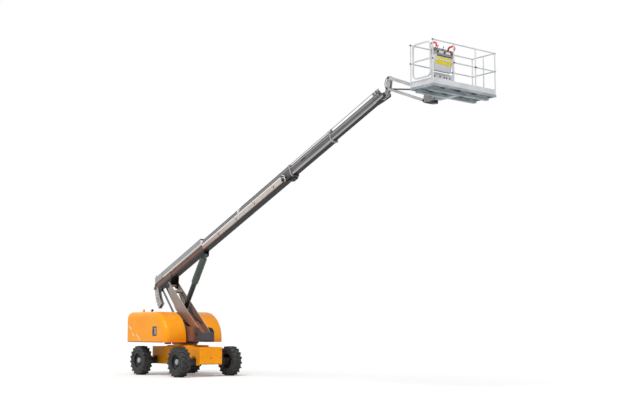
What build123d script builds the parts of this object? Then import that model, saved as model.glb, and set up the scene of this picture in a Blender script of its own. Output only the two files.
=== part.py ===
from build123d import *
import os
from math import atan2, cos, degrees, hypot, radians, sin

# Telescopic boom lift, millimetres, +X towards the platform, +Y to the left, +Z up.
# The origin lies on the ground under the slew axis.

# Chassis and running gear
WHEELBASE = 2600
TRACK = 2110
TYRE_RADIUS = 520
TYRE_WIDTH = 355
LUG_HEIGHT = 30
LUGS_PER_SIDE = 18
TYRE_FACETS = 36
RIM_RADIUS = 275
RIM_WALL = 14
WHEEL_NUTS = 10
NUT_RADIUS = 13
SPINDLE_RADIUS = 60
RUNNING_GAP = 0.3
CHASSIS_FRONT = 1700
CHASSIS_REAR = -1540
CHASSIS_HALF_WIDTH = 460
CHASSIS_BOTTOM = 400
CHASSIS_TOP = 1020
CHASSIS_PLATE = 20
CHASSIS_END_CHAMFER = 60
AXLE_NOTCH = (300, 300)
NOTCH_CORNER = 90
TIE_DOWN_X = 600
TIE_DOWN_HEIGHT = 160
TIE_DOWN_BORE = 60
PEDESTAL_RADIUS = 430
PEDESTAL_HEIGHT = 110
PLINTH = (160, 1500, 60)
TOW_BORE = 50
TOW_HEIGHT = 640
AXLE_HALF_LENGTH = 690
AXLE_SECTION = (180, 210)
KINGPIN_Y = 790
KINGPIN_RADIUS = 36
KNUCKLE_RADIUS = 62
YOKE_GAP = 200
YOKE_THICKNESS = 45
HUB_FACE_Y = 1010

# Slewing turntable
SLEW_RING_RADIUS = 470
SLEW_RING_BORE = 340
SLEW_RING_HEIGHT = 70
DECK_PLATE = 25
DECK_CORNER = 240
CHEEK_Y = 285
CHEEK_THICKNESS = 25
CHEEK_FRONT = 1440
CHEEK_REAR = -2150
CHEEK_NOSE = (1300, 1560, 1690)
CHEEK_CREST = (480, 1750)
CHEEK_BACK = (300, 1700)
CROSS_MEMBER = (120, 330, 1380)
CROSS_CORNER = 50
TAIL_SLOT = -800
WELL_FRONT = 200
WELL_HALF_WIDTH = 110
DECK_FRONT_INSET = 60
DECK_SIDE_INSET = 40
COVER_REAR = -2200
COVER_FRONT = 650
COVER_INNER_Y = 380
COVER_OUTER_Y = 1220
COVER_TOP = 2260
COVER_BOTTOM = 1180
COVER_WALL = 8
COVER_REAR_RADIUS = 260
COVER_FRONT_RADIUS = 950
COVER_EDGE_RADIUS = 200
COVER_HINGES = (-1350, -420)
HINGE_INSET = 20
HINGE_POST = 30
HINGE_RADIUS = 18
HINGE_PIN = 10
HINGE_HEIGHT = 60
SIDE_GAP = 10
BLOCK_INSET = 120
TOP_FITTING_Y = 700
BEACON_X = -1790
BEACON = (44, 105)
HORN_X = -1210
HORN = (45, 60)
VENT = (-110, 1570, 300, 350)
VENT_SLOTS = 6
CREASE = (14, 4)

# Pivots of the lifting linkage, as (x, z) in the machine's middle plane
ARM_FOOT = (1165, 1490)
BOOM_PIVOT = (-930, 3230)
TIE_TOP = (-1475, 3100)
TIE_FOOT = (114, 1414)
LIFT_TOP = (1213, 4253)
LIFT_FOOT = (-143, 2261)
BOOM_PITCH = 22.5
PIVOT_PIN = 45
ARM_HALF_WIDTH = 200
ARM_PLATE = 16
TIE_Y = 110
TIE_BAR = (30, 80)
SLACK = 5

# Boom sections, along the boom from its pivot
BOOM_HEEL = -770
BOOM_AXIS_HEIGHT = 395
SECTION_1 = (290, 360, 6)
SECTION_2 = (236, 304, 6)
SECTION_3 = (184, 248, 5)
SECTION_3_BORE = (150, 210)
SECTION_1_END = 8090
SECTION_2_TAIL = 2500
SECTION_2_END = 10240
SECTION_3_TAIL = 5200
SECTION_3_END = 12600
COLLAR_LENGTH = 60
COLLAR_WALL = 16
LIFT_BARREL = (82, 1120, 110)
LIFT_STAGE = (62, 630, 1286)
LIFT_ROD = (44, 660, 1505)
LIFT_EYES = (78, 40)
GLAND = (6, 60)
LIFT_BOSS = 58
JIB_EYE = 20
WEAR_PAD_LENGTH = 200
HEEL_PLATE = 28
HEEL_BOSS = 110
WEDGE = (420, 90, 90)
HOSE_GUIDE_RADII = (930, 1190)
HOSE_GUIDE_ANGLES = (160, 222)
HOSE_GUIDE_HALF_WIDTH = 60
HOSE_GUIDE_WALL = 6
DUCT_DEPTH = 60
DUCT_WALL = 4
DUCT_END = 2590
TRAY_END = 7600
CARRIER_RADIUS = 16
CARRIER_HEIGHT = 680
CARRIER_TAIL = 5000
FORK_LENGTH = 290
FORK_PLATE = 20

# Level head, jib and platform, pivots as (x, z)
TIP_PIVOT = (10800, 8420)
JIB_LOWER_FOOT = (10900, 8580)
JIB_UPPER_FOOT = (10960, 8890)
JIB_REACH = (1500, -600)
JIB_PIN = 25
JIB_ARM_Y = 73
JIB_TUBE = 36
HEAD_Y = 48
HEAD_PLATE = 18
HEAD_EDGE = 60
JIB_BARREL = (22, 950)
JIB_ROD_RADIUS = 15
ROTATOR_RADIUS = 95
TONGUE_RADIUS = 90
ROTATOR_HEIGHT = 150
ROTATOR_REACH = 350
TONGUE_REACH = 290
PLATFORM_DEPTH = 880
PLATFORM_HALF_WIDTH = 1220
FLOOR_RISE = 20
FLOOR_THICKNESS = 60
FLOOR_PLATE = 6
FLOOR_BEAM = 36
FLOOR_BAYS = 4
BEAM_DEPTH = 75
ANCHOR_PLATE = 8
ANCHOR_SIZE = 70
ANCHOR_BORE = 32
RAIL_HEIGHT = 1250
RAIL_RADIUS = 20
POST_RADIUS = 18
TOE_BOARD = 150
TOE_PLATE = 4
KICK_HEIGHT = 380
KICK_HOLES = 5
KICK_PITCH = 150
KICK_BORE = 40
KICK_HOLE_RISE = 290
MID_RAIL_SHARE = 0.576
POST_Y = 420
GATE_HINGE_INSET = 70
HINGE_SHARES = (0.23, 0.75)
GATE_WIDTH = 690
GATE_CLEARANCE = 50
GATE_TUBE = 36

# Heights and directions that follow from the sizes above
AXLE_Z = TYRE_RADIUS
WHEEL_Y = TRACK / 2
PEDESTAL_TOP = CHASSIS_TOP + PEDESTAL_HEIGHT
DECK_BOTTOM = PEDESTAL_TOP + SLEW_RING_HEIGHT
DECK_TOP = DECK_BOTTOM + DECK_PLATE
COVER_AXIS_Y = COVER_INNER_Y - HINGE_INSET
COVER_AXIS_Z = COVER_TOP - HINGE_INSET
ARM_LENGTH = hypot(BOOM_PIVOT[0] - ARM_FOOT[0], BOOM_PIVOT[1] - ARM_FOOT[1])
ARM_ANGLE = degrees(atan2(BOOM_PIVOT[1] - ARM_FOOT[1], BOOM_PIVOT[0] - ARM_FOOT[0]))
JIB_LENGTH = hypot(*JIB_REACH)
POST_LOWER = (JIB_LOWER_FOOT[0] + JIB_REACH[0], JIB_LOWER_FOOT[1] + JIB_REACH[1])
POST_UPPER = (JIB_UPPER_FOOT[0] + JIB_REACH[0], JIB_UPPER_FOOT[1] + JIB_REACH[1])
PLATFORM_AXIS_X = POST_LOWER[0] + ROTATOR_REACH
PLATFORM_REAR = PLATFORM_AXIS_X + TONGUE_REACH
PLATFORM_FRONT = PLATFORM_REAR + PLATFORM_DEPTH
PLATFORM_MIDDLE = PLATFORM_REAR + PLATFORM_DEPTH / 2
PLATFORM_FLOOR = POST_LOWER[1] + FLOOR_RISE
FLOOR_TOP = PLATFORM_FLOOR + FLOOR_THICKNESS
RAIL_TOP = PLATFORM_FLOOR + RAIL_HEIGHT
MID_RAIL = PLATFORM_FLOOR + RAIL_HEIGHT * MID_RAIL_SHARE
GATE_HINGE_X = PLATFORM_FRONT - GATE_HINGE_INSET
GATE_BOTTOM = FLOOR_TOP + TOE_BOARD + GATE_CLEARANCE
GATE_TOP = RAIL_TOP - GATE_CLEARANCE / 2
HINGE_LEVELS = [GATE_BOTTOM + share * (GATE_TOP - GATE_BOTTOM) for share in HINGE_SHARES]

os.makedirs("parts", exist_ok=True)


def side_plane(pivot, angle):
    """Upright plane through the middle of the machine, its x axis at an angle above the horizontal."""
    slope = radians(angle)
    return Plane(origin=(pivot[0], 0, pivot[1]), x_dir=(cos(slope), 0, sin(slope)), z_dir=(0, -1, 0))


def cross_plane(plane, along, height=0):
    """Plane square to a side plane's x axis, its own x axis along +Y."""
    start = plane.from_local_coords((along, height, 0))
    return Plane(origin=start, x_dir=(0, 1, 0), z_dir=plane.x_dir)


def link_plane(start, end):
    """Side plane at one pivot whose x axis points to another pivot, and the distance between them."""
    angle = degrees(atan2(end[1] - start[1], end[0] - start[0]))
    return side_plane(start, angle), hypot(end[0] - start[0], end[1] - start[1])


def local(plane, pivot):
    """Place of an (x, z) pivot in a side plane."""
    point = plane.to_local_coords(Vector(pivot[0], 0, pivot[1]))
    return (point.X, point.Y)


SIDE = side_plane((0, 0), 0)
ARM = side_plane(ARM_FOOT, ARM_ANGLE)
BOOM = side_plane(BOOM_PIVOT, BOOM_PITCH)


def save(part, name):
    part.label = name
    export_step(part, f"parts/{name}.step")


# Chassis: a box of plates, open below, arched over both axles, with the slew pedestal on top
with BuildPart() as chassis_frame:
    with BuildSketch(SIDE):
        with BuildLine():
            Polyline((CHASSIS_REAR, CHASSIS_TOP), (CHASSIS_REAR, CHASSIS_BOTTOM), (CHASSIS_FRONT, CHASSIS_BOTTOM),
                     (CHASSIS_FRONT, CHASSIS_TOP), close=True)
        make_face()
        chamfer(vertices().group_by(Axis.Y)[0], CHASSIS_END_CHAMFER)
    extrude(amount=CHASSIS_HALF_WIDTH, both=True)
    chamfer(edges().filter_by(Axis.Z), CHASSIS_PLATE - 2)
    with Locations((CHASSIS_FRONT / 2 + CHASSIS_REAR / 2, 0, CHASSIS_TOP - CHASSIS_PLATE)):
        Box(CHASSIS_FRONT - CHASSIS_REAR - 2 * CHASSIS_PLATE, 2 * (CHASSIS_HALF_WIDTH - CHASSIS_PLATE),
            CHASSIS_TOP, align=(Align.CENTER, Align.CENTER, Align.MAX), mode=Mode.SUBTRACT)
    with BuildSketch(SIDE):
        with Locations((WHEELBASE / 2, CHASSIS_BOTTOM), (-WHEELBASE / 2, CHASSIS_BOTTOM)):
            RectangleRounded(AXLE_NOTCH[0], 2 * AXLE_NOTCH[1], NOTCH_CORNER)
    extrude(amount=CHASSIS_HALF_WIDTH, both=True, mode=Mode.SUBTRACT)
    with Locations((PLINTH[0], 0, CHASSIS_TOP)):
        Box(PLINTH[1], 2 * (CHASSIS_HALF_WIDTH - PLINTH[2]), PEDESTAL_HEIGHT / 2,
            align=(Align.CENTER, Align.CENTER, Align.MIN))
    with Locations((0, 0, CHASSIS_TOP)):
        Cylinder(PEDESTAL_RADIUS, PEDESTAL_HEIGHT, align=(Align.CENTER, Align.CENTER, Align.MIN))
    with BuildSketch(SIDE):
        with Locations((0, CHASSIS_BOTTOM + TIE_DOWN_HEIGHT)):
            with GridLocations(2 * TIE_DOWN_X, 0, 2, 1):
                Circle(TIE_DOWN_BORE / 2)
    extrude(amount=CHASSIS_HALF_WIDTH, both=True, mode=Mode.SUBTRACT)
    with BuildSketch(Plane.YZ.offset(CHASSIS_FRONT)):
        with Locations((0, TOW_HEIGHT)):
            Circle(TOW_BORE / 2)
    extrude(amount=-CHASSIS_PLATE, mode=Mode.SUBTRACT)
save(chassis_frame.part, "chassis_frame")

# Axles: the front one ends in yokes for the kingpins, the rear one in fixed spindles
with BuildPart() as front_axle:
    with Locations((WHEELBASE / 2, 0, AXLE_Z)):
        Box(AXLE_SECTION[0], 2 * AXLE_HALF_LENGTH, AXLE_SECTION[1])
    for side in (1, -1):
        for level in (1, -1):
            height = AXLE_Z + level * (YOKE_GAP / 2 + YOKE_THICKNESS / 2)
            with BuildSketch(Plane.XY.offset(height)):
                with Locations((WHEELBASE / 2, side * KINGPIN_Y)):
                    Circle(KNUCKLE_RADIUS)
                with Locations((WHEELBASE / 2, side * (KINGPIN_Y + AXLE_HALF_LENGTH - 40) / 2)):
                    Rectangle(2 * KNUCKLE_RADIUS, KINGPIN_Y - AXLE_HALF_LENGTH + 40)
            extrude(amount=YOKE_THICKNESS / 2, both=True)
        with Locations((WHEELBASE / 2, side * (AXLE_HALF_LENGTH - 20), AXLE_Z)):
            Box(AXLE_SECTION[0], 40, YOKE_GAP + 2 * YOKE_THICKNESS)
        with Locations((WHEELBASE / 2, side * KINGPIN_Y, AXLE_Z)):
            Cylinder(KINGPIN_RADIUS + RUNNING_GAP, YOKE_GAP + 2 * YOKE_THICKNESS, mode=Mode.SUBTRACT)
    with Locations((WHEELBASE / 2, 0, AXLE_Z + AXLE_SECTION[1] / 2)):
        Box(AXLE_SECTION[0], 300, CHASSIS_TOP - CHASSIS_PLATE - AXLE_Z - AXLE_SECTION[1] / 2,
            align=(Align.CENTER, Align.CENTER, Align.MIN))
save(front_axle.part, "front_axle")

with BuildPart() as rear_axle:
    with Locations((-WHEELBASE / 2, 0, AXLE_Z)):
        Box(AXLE_SECTION[0], 2 * (KINGPIN_Y + 20), AXLE_SECTION[1])
    with Locations((-WHEELBASE / 2, 0, AXLE_Z + AXLE_SECTION[1] / 2)):
        Box(AXLE_SECTION[0], 300, CHASSIS_TOP - CHASSIS_PLATE - AXLE_Z - AXLE_SECTION[1] / 2,
            align=(Align.CENTER, Align.CENTER, Align.MIN))
    with BuildSketch(SIDE):
        with Locations((-WHEELBASE / 2, AXLE_Z)):
            Circle(SPINDLE_RADIUS)
    extrude(amount=WHEEL_Y + 20, both=True)
    with BuildSketch(SIDE):
        with Locations((-WHEELBASE / 2, AXLE_Z)):
            Circle(2 * SPINDLE_RADIUS)
    extrude(amount=HUB_FACE_Y - 40, both=True)
save(rear_axle.part, "rear_axle")

for name, side in (("knuckle_left", 1), ("knuckle_right", -1)):
    with BuildPart() as knuckle:
        with Locations((WHEELBASE / 2, side * KINGPIN_Y, AXLE_Z)):
            Cylinder(KNUCKLE_RADIUS, YOKE_GAP - 2 * SLACK)
            Cylinder(KINGPIN_RADIUS, YOKE_GAP + 2 * YOKE_THICKNESS)
        with BuildSketch(SIDE.offset(-side * KINGPIN_Y)):
            with Locations((WHEELBASE / 2, AXLE_Z)):
                Circle(SPINDLE_RADIUS)
        extrude(amount=-side * (WHEEL_Y + 20 - KINGPIN_Y))
        with BuildSketch(SIDE.offset(-side * (KINGPIN_Y + 2 * KNUCKLE_RADIUS))):
            with Locations((WHEELBASE / 2, AXLE_Z)):
                Circle(2 * SPINDLE_RADIUS)
        extrude(amount=-side * (HUB_FACE_Y - 40 - KINGPIN_Y - 2 * KNUCKLE_RADIUS))
    save(knuckle.part, name)

# Wheel, drawn about the Z axis: a faceted carcass with two rows of slanted lugs, and a dished rim
CARCASS = (
    # height, radius
    (-TYRE_WIDTH / 2 + 30, RIM_RADIUS + 25),
    (-TYRE_WIDTH / 2, RIM_RADIUS + 120),
    (-TYRE_WIDTH / 2 + 20, TYRE_RADIUS - LUG_HEIGHT - 15),
    (-TYRE_WIDTH / 2 + 60, TYRE_RADIUS - LUG_HEIGHT),
    (TYRE_WIDTH / 2 - 60, TYRE_RADIUS - LUG_HEIGHT),
    (TYRE_WIDTH / 2 - 20, TYRE_RADIUS - LUG_HEIGHT - 15),
    (TYRE_WIDTH / 2, RIM_RADIUS + 120),
    (TYRE_WIDTH / 2 - 30, RIM_RADIUS + 25),
)
LUG_REACH = 47
LUG_TOP = (TYRE_RADIUS**2 - LUG_REACH**2) ** 0.5
LUG_TURN = 90 - degrees(atan2(LUG_REACH, LUG_TOP))
LUG_OUTLINE = (
    # along the tread, across the tread
    (-LUG_REACH, 10), (3, 10), (LUG_REACH, TYRE_WIDTH / 2 - 8), (-13, TYRE_WIDTH / 2 - 8))
with BuildPart() as tread_lug:
    with BuildSketch(Plane.YZ.offset(LUG_TOP)):
        Polygon(*LUG_OUTLINE, align=None)
    extrude(amount=-2 * LUG_HEIGHT)
with BuildPart() as tyre:
    for height, radius in CARCASS:
        with BuildSketch(Plane.XY.offset(height)):
            RegularPolygon(radius, TYRE_FACETS)
    loft(ruled=True)
    with PolarLocations(0, LUGS_PER_SIDE, start_angle=LUG_TURN):
        add(tread_lug.part)
    with PolarLocations(0, LUGS_PER_SIDE, start_angle=LUG_TURN + 180 / LUGS_PER_SIDE):
        add(tread_lug.part.mirror(Plane.XY))
    Cylinder(RIM_RADIUS + RUNNING_GAP, 2 * TYRE_WIDTH, mode=Mode.SUBTRACT)
RIM_HALF = TYRE_WIDTH / 2 - 30
RIM_BORE = RIM_RADIUS - RIM_WALL
HUB_RADIUS = 2 * SPINDLE_RADIUS
RIM_SECTION = (
    # radius, height towards the outside of the wheel
    (0, 25), (SPINDLE_RADIUS + RUNNING_GAP, 25), (SPINDLE_RADIUS + RUNNING_GAP, HUB_FACE_Y - WHEEL_Y - 40),
    (HUB_RADIUS, HUB_FACE_Y - WHEEL_Y - 40), (HUB_RADIUS, -4), (RIM_BORE - 45, 6), (RIM_BORE, 35),
    (RIM_BORE, -RIM_HALF), (RIM_RADIUS, -RIM_HALF), (RIM_RADIUS, RIM_HALF), (RIM_BORE, RIM_HALF),
    (RIM_BORE, 58), (RIM_BORE - 45, 28), (HUB_RADIUS + 40, 20), (HUB_RADIUS, 20), (HUB_RADIUS, 62),
    (HUB_RADIUS - 20, 78), (HUB_RADIUS - 20, 100), (HUB_RADIUS - 45, 116), (0, 118))
with BuildPart() as rim:
    with BuildSketch(Plane.XZ):
        Polygon(*RIM_SECTION, align=None)
    revolve(axis=Axis.Z)
    with PolarLocations(HUB_RADIUS + 24, WHEEL_NUTS):
        Cylinder(NUT_RADIUS, 40, align=(Align.CENTER, Align.CENTER, Align.MIN))

WHEELS = (
    # corner, place along the machine, side
    ("front_left", WHEELBASE / 2, 1),
    ("front_right", WHEELBASE / 2, -1),
    ("rear_left", -WHEELBASE / 2, 1),
    ("rear_right", -WHEELBASE / 2, -1),
)
for corner, along, side in WHEELS:
    seat = Plane(origin=(along, side * WHEEL_Y, AXLE_Z), x_dir=(1, 0, 0), z_dir=(0, side, 0))
    save(tyre.part.moved(seat.location), f"tyre_{corner}")
    save(rim.part.moved(seat.location), f"rim_{corner}")

# Turntable
with BuildPart() as slew_ring:
    with Locations((0, 0, PEDESTAL_TOP)):
        Cylinder(SLEW_RING_RADIUS, SLEW_RING_HEIGHT, align=(Align.CENTER, Align.CENTER, Align.MIN))
        Cylinder(SLEW_RING_BORE, SLEW_RING_HEIGHT, align=(Align.CENTER, Align.CENTER, Align.MIN),
                 mode=Mode.SUBTRACT)
save(slew_ring.part, "slew_ring")

with BuildPart() as turntable_frame:
    for side in (1, -1):
        with BuildSketch(SIDE.offset(-side * CHEEK_Y)):
            with BuildLine():
                Polyline((CHEEK_REAR, DECK_BOTTOM), (CHEEK_FRONT, DECK_BOTTOM), (CHEEK_FRONT, CHEEK_NOSE[1]),
                         (CHEEK_NOSE[0], CHEEK_NOSE[2]), CHEEK_CREST, CHEEK_BACK, (CHEEK_REAR, CHEEK_BACK[1]),
                         close=True)
            make_face()
        extrude(amount=side * CHEEK_THICKNESS)
        for place in COVER_HINGES:
            with Locations((place, side * (CHEEK_Y - CHEEK_THICKNESS), DECK_TOP)):
                Box(HINGE_POST, COVER_INNER_Y - SLACK - CHEEK_Y + CHEEK_THICKNESS,
                    COVER_AXIS_Z + HINGE_PIN - DECK_TOP,
                    align=(Align.CENTER, Align.MIN if side > 0 else Align.MAX, Align.MIN))
            with BuildSketch(Plane.YZ.offset(place)):
                with Locations((side * COVER_AXIS_Y, COVER_AXIS_Z)):
                    Circle(HINGE_PIN)
            extrude(amount=HINGE_POST / 2 + SLACK + HINGE_HEIGHT)
    with BuildSketch(Plane.XY.offset(DECK_BOTTOM)):
        with Locations((CHEEK_FRONT, 0)):
            Rectangle(CHEEK_FRONT - TAIL_SLOT, 2 * CHEEK_Y, align=(Align.MAX, Align.CENTER))
        with Locations((COVER_FRONT - DECK_FRONT_INSET, 0)):
            Rectangle(COVER_FRONT - DECK_FRONT_INSET - CHEEK_REAR, 2 * (COVER_OUTER_Y - DECK_SIDE_INSET),
                      align=(Align.MAX, Align.CENTER))
        with Locations((TAIL_SLOT, 0)):
            Rectangle(TAIL_SLOT - CHEEK_REAR, 2 * (CHEEK_Y - CHEEK_THICKNESS), align=(Align.MAX, Align.CENTER),
                      mode=Mode.SUBTRACT)
        with Locations((WELL_FRONT, 0)):
            Rectangle(WELL_FRONT - TAIL_SLOT, 2 * WELL_HALF_WIDTH, align=(Align.MAX, Align.CENTER),
                      mode=Mode.SUBTRACT)
        fillet(vertices().group_by(Axis.Y)[0], DECK_CORNER)
        fillet(vertices().group_by(Axis.Y)[-1], DECK_CORNER)
    extrude(amount=DECK_PLATE)
    with BuildSketch(SIDE):
        with Locations((CHEEK_FRONT - CROSS_MEMBER[0] / 2, CROSS_MEMBER[2])):
            RectangleRounded(CROSS_MEMBER[0], CROSS_MEMBER[1], CROSS_CORNER)
    extrude(amount=CHEEK_Y - CHEEK_THICKNESS / 2, both=True)
    with BuildSketch(SIDE):
        with Locations(ARM_FOOT, TIE_FOOT):
            Circle(PIVOT_PIN + RUNNING_GAP)
    extrude(amount=CHEEK_Y, both=True, mode=Mode.SUBTRACT)
save(turntable_frame.part, "turntable_frame")

HEAVY_BLOCKS = (
    # name, rear, front, top, inner side, sides
    ("counterweight", -2130, -1400, 1590, CHEEK_Y, (1, -1)),
    ("engine_block", -1300, 250, 1900, COVER_INNER_Y, (1,)),
    ("fluid_tanks", -1300, 250, 1800, COVER_INNER_Y, (-1,)),
)
for name, rear, front, top, inner, sides in HEAVY_BLOCKS:
    with BuildPart() as block:
        for side in sides:
            with Locations(((rear + front) / 2, side * (inner + SIDE_GAP), DECK_TOP)):
                Box(front - rear, COVER_OUTER_Y - BLOCK_INSET - inner - SIDE_GAP, top - DECK_TOP,
                    align=(Align.CENTER, Align.MIN if side > 0 else Align.MAX, Align.MIN))
    save(block.part, name)


def cover_form(inset):
    """Rounded hood drawn on the right side, drawn in by an inset for its inner face."""
    rear, front, top = COVER_REAR + inset, COVER_FRONT - inset, COVER_TOP - inset
    bottom, overlap = COVER_BOTTOM - inset, 1 if inset else 0
    with BuildPart() as form:
        with BuildSketch(SIDE.offset(COVER_INNER_Y - overlap)):
            with BuildLine():
                Polyline((rear, bottom), (front, bottom), (front, top), (rear, top), close=True)
            make_face()
            fillet(vertices().group_by(Axis.Y)[-1].sort_by(Axis.X)[0], COVER_REAR_RADIUS - inset)
            fillet(vertices().group_by(Axis.Y)[-1].sort_by(Axis.X)[-1], COVER_FRONT_RADIUS - inset)
        extrude(amount=COVER_OUTER_Y - COVER_INNER_Y - inset + overlap)
        outline = faces().sort_by(Axis.Y)[0].edges()
        fillet(outline - outline.group_by(Axis.Z)[0], COVER_EDGE_RADIUS - inset)
    return form.part


CREASE_LINE = ((150, 1960), (280, 1650), (130, 1260))
RIB_LINES = (
    # start, end, as (x, z) on the cover's side
    ((-1960, 1830), (-1230, 1290)),
    ((-1780, 1830), (-1050, 1290)),
)
with BuildPart() as cover_right:
    add(cover_form(0) - cover_form(COVER_WALL))
    for place in COVER_HINGES:
        with BuildSketch(Plane.YZ.offset(place + HINGE_POST / 2 + SLACK)):
            with Locations((-COVER_AXIS_Y, COVER_AXIS_Z)):
                Circle(HINGE_RADIUS)
            with Locations((-COVER_INNER_Y, COVER_TOP)):
                Rectangle(2 * HINGE_INSET, HINGE_INSET / 2, align=(Align.CENTER, Align.MAX))
            with Locations((-COVER_AXIS_Y, COVER_AXIS_Z)):
                Circle(HINGE_PIN + RUNNING_GAP, mode=Mode.SUBTRACT)
        extrude(amount=HINGE_HEIGHT)
    with BuildSketch(SIDE.offset(COVER_OUTER_Y)):
        with Locations(VENT[:2]):
            RectangleRounded(VENT[2], VENT[3], VENT[2] / 6)
        with BuildLine():
            crease = ThreePointArc(*CREASE_LINE)
        trace(crease, CREASE[0])
        for start, end in RIB_LINES:
            with BuildLine():
                rib = Line(start, end)
            trace(rib, CREASE[0])
    extrude(amount=-CREASE[1], mode=Mode.SUBTRACT)
    with BuildSketch(SIDE.offset(COVER_OUTER_Y)):
        with Locations(VENT[:2]):
            with GridLocations(0, VENT[3] / (VENT_SLOTS + 1), 1, VENT_SLOTS):
                SlotOverall(VENT[2] - 30, VENT[3] / VENT_SLOTS / 3)
    extrude(amount=-COVER_WALL, mode=Mode.SUBTRACT)
save(cover_right.part, "cover_right")
save(cover_right.part.mirror(Plane.XZ), "cover_left")

with BuildPart() as beacon:
    with Locations((BEACON_X, -TOP_FITTING_Y, COVER_TOP)):
        Cylinder(BEACON[0] + 6, BEACON[1] / 4, align=(Align.CENTER, Align.CENTER, Align.MIN))
        Cylinder(BEACON[0], BEACON[1], align=(Align.CENTER, Align.CENTER, Align.MIN))
    fillet(edges().filter_by(GeomType.CIRCLE).group_by(Axis.Z)[-1], BEACON[0] / 2)
save(beacon.part, "beacon")

with BuildPart() as horn:
    with Locations((HORN_X, -TOP_FITTING_Y, COVER_TOP)):
        Cylinder(HORN[0] / 2, HORN[1], align=(Align.CENTER, Align.CENTER, Align.MIN))
    with BuildSketch(Plane.YZ.offset(HORN_X - HORN[0])):
        with Locations((-TOP_FITTING_Y, COVER_TOP + HORN[1])):
            Circle(HORN[0] / 2)
    with BuildSketch(Plane.YZ.offset(HORN_X + HORN[0])):
        with Locations((-TOP_FITTING_Y, COVER_TOP + HORN[1])):
            Circle(HORN[0])
    loft()
save(horn.part, "horn")

# Arm: two plates joined by a back plate, a cross tube and the pivot pins
ARM_EDGE = (
    # along the arm, behind the arm's axis
    (0, -150), (ARM_LENGTH + 60, -136), (ARM_LENGTH + 120, 60), (1754, 330), (1440, 310), (540, 130), (0, 150))
with BuildPart() as arm_plates:
    for side in (1, -1):
        with BuildSketch(ARM.offset(-side * ARM_HALF_WIDTH)):
            Polygon(*ARM_EDGE, align=None)
            Circle(150)
        extrude(amount=side * ARM_PLATE)
    with BuildSketch(ARM):
        with Locations((150, 110)):
            Rectangle(650, 14, align=(Align.MIN, Align.CENTER))
        with Locations((2300, -60)):
            Circle(60)
    extrude(amount=ARM_HALF_WIDTH - ARM_PLATE / 2, both=True)
    with BuildSketch(ARM):
        Circle(PIVOT_PIN)
    extrude(amount=CHEEK_Y, both=True)
    with BuildSketch(ARM):
        with Locations((ARM_LENGTH, 0)):
            Circle(PIVOT_PIN)
    extrude(amount=ARM_HALF_WIDTH + 10, both=True)
    for side in (1, -1):
        with BuildSketch(ARM.offset(-side * ARM_HALF_WIDTH)):
            with Locations(local(ARM, LIFT_FOOT)):
                Circle(LIFT_BOSS)
        extrude(amount=side * (ARM_HALF_WIDTH - LIFT_ROD[0] - SLACK))
save(arm_plates.part, "arm_plates")

TIE, TIE_LENGTH = link_plane(TIE_FOOT, TIE_TOP)
with BuildPart() as tie_bars:
    for side in (1, -1):
        with BuildSketch(TIE.offset(-side * (TIE_Y - TIE_BAR[0] / 2))):
            with Locations((TIE_LENGTH / 2, 0)):
                SlotCenterToCenter(TIE_LENGTH, TIE_BAR[1])
            with Locations((TIE_LENGTH, 0)):
                Circle(PIVOT_PIN / 2, mode=Mode.SUBTRACT)
        extrude(amount=-side * TIE_BAR[0])
    with BuildSketch(TIE):
        Circle(PIVOT_PIN)
    extrude(amount=CHEEK_Y, both=True)
save(tie_bars.part, "tie_bars")


def tube_section(width, height, inset):
    """Boom profile: flat top, upright sides, and lower corners cut at a slant."""
    half, rise, cut = width / 2 - inset, height / 2 - inset, width / 5
    Polygon((-half, rise), (half, rise), (half, cut - rise), (half - cut / 2, -rise), (cut / 2 - half, -rise),
            (-half, cut - rise), align=None)


def boom_tube(size, tail, end, inner):
    """Hollow boom tube with a closed tail, and at its outer end a collar and wear pads round the next tube."""
    width, height, wall = size
    with BuildPart() as tube:
        for start, stop, grow in ((tail, end, 0), (end - COLLAR_LENGTH, end, COLLAR_WALL)):
            with BuildSketch(cross_plane(BOOM, start, BOOM_AXIS_HEIGHT)):
                tube_section(width, height, -grow)
            extrude(amount=stop - start)
        with BuildSketch(cross_plane(BOOM, tail + 2 * wall, BOOM_AXIS_HEIGHT)):
            tube_section(width, height, wall)
        extrude(amount=end - tail - 2 * wall - WEAR_PAD_LENGTH, mode=Mode.SUBTRACT)
        with BuildSketch(cross_plane(BOOM, end - WEAR_PAD_LENGTH - 1, BOOM_AXIS_HEIGHT)):
            tube_section(inner[0], inner[1], -RUNNING_GAP)
        extrude(amount=WEAR_PAD_LENGTH + 1, mode=Mode.SUBTRACT)
    return tube.part


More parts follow.
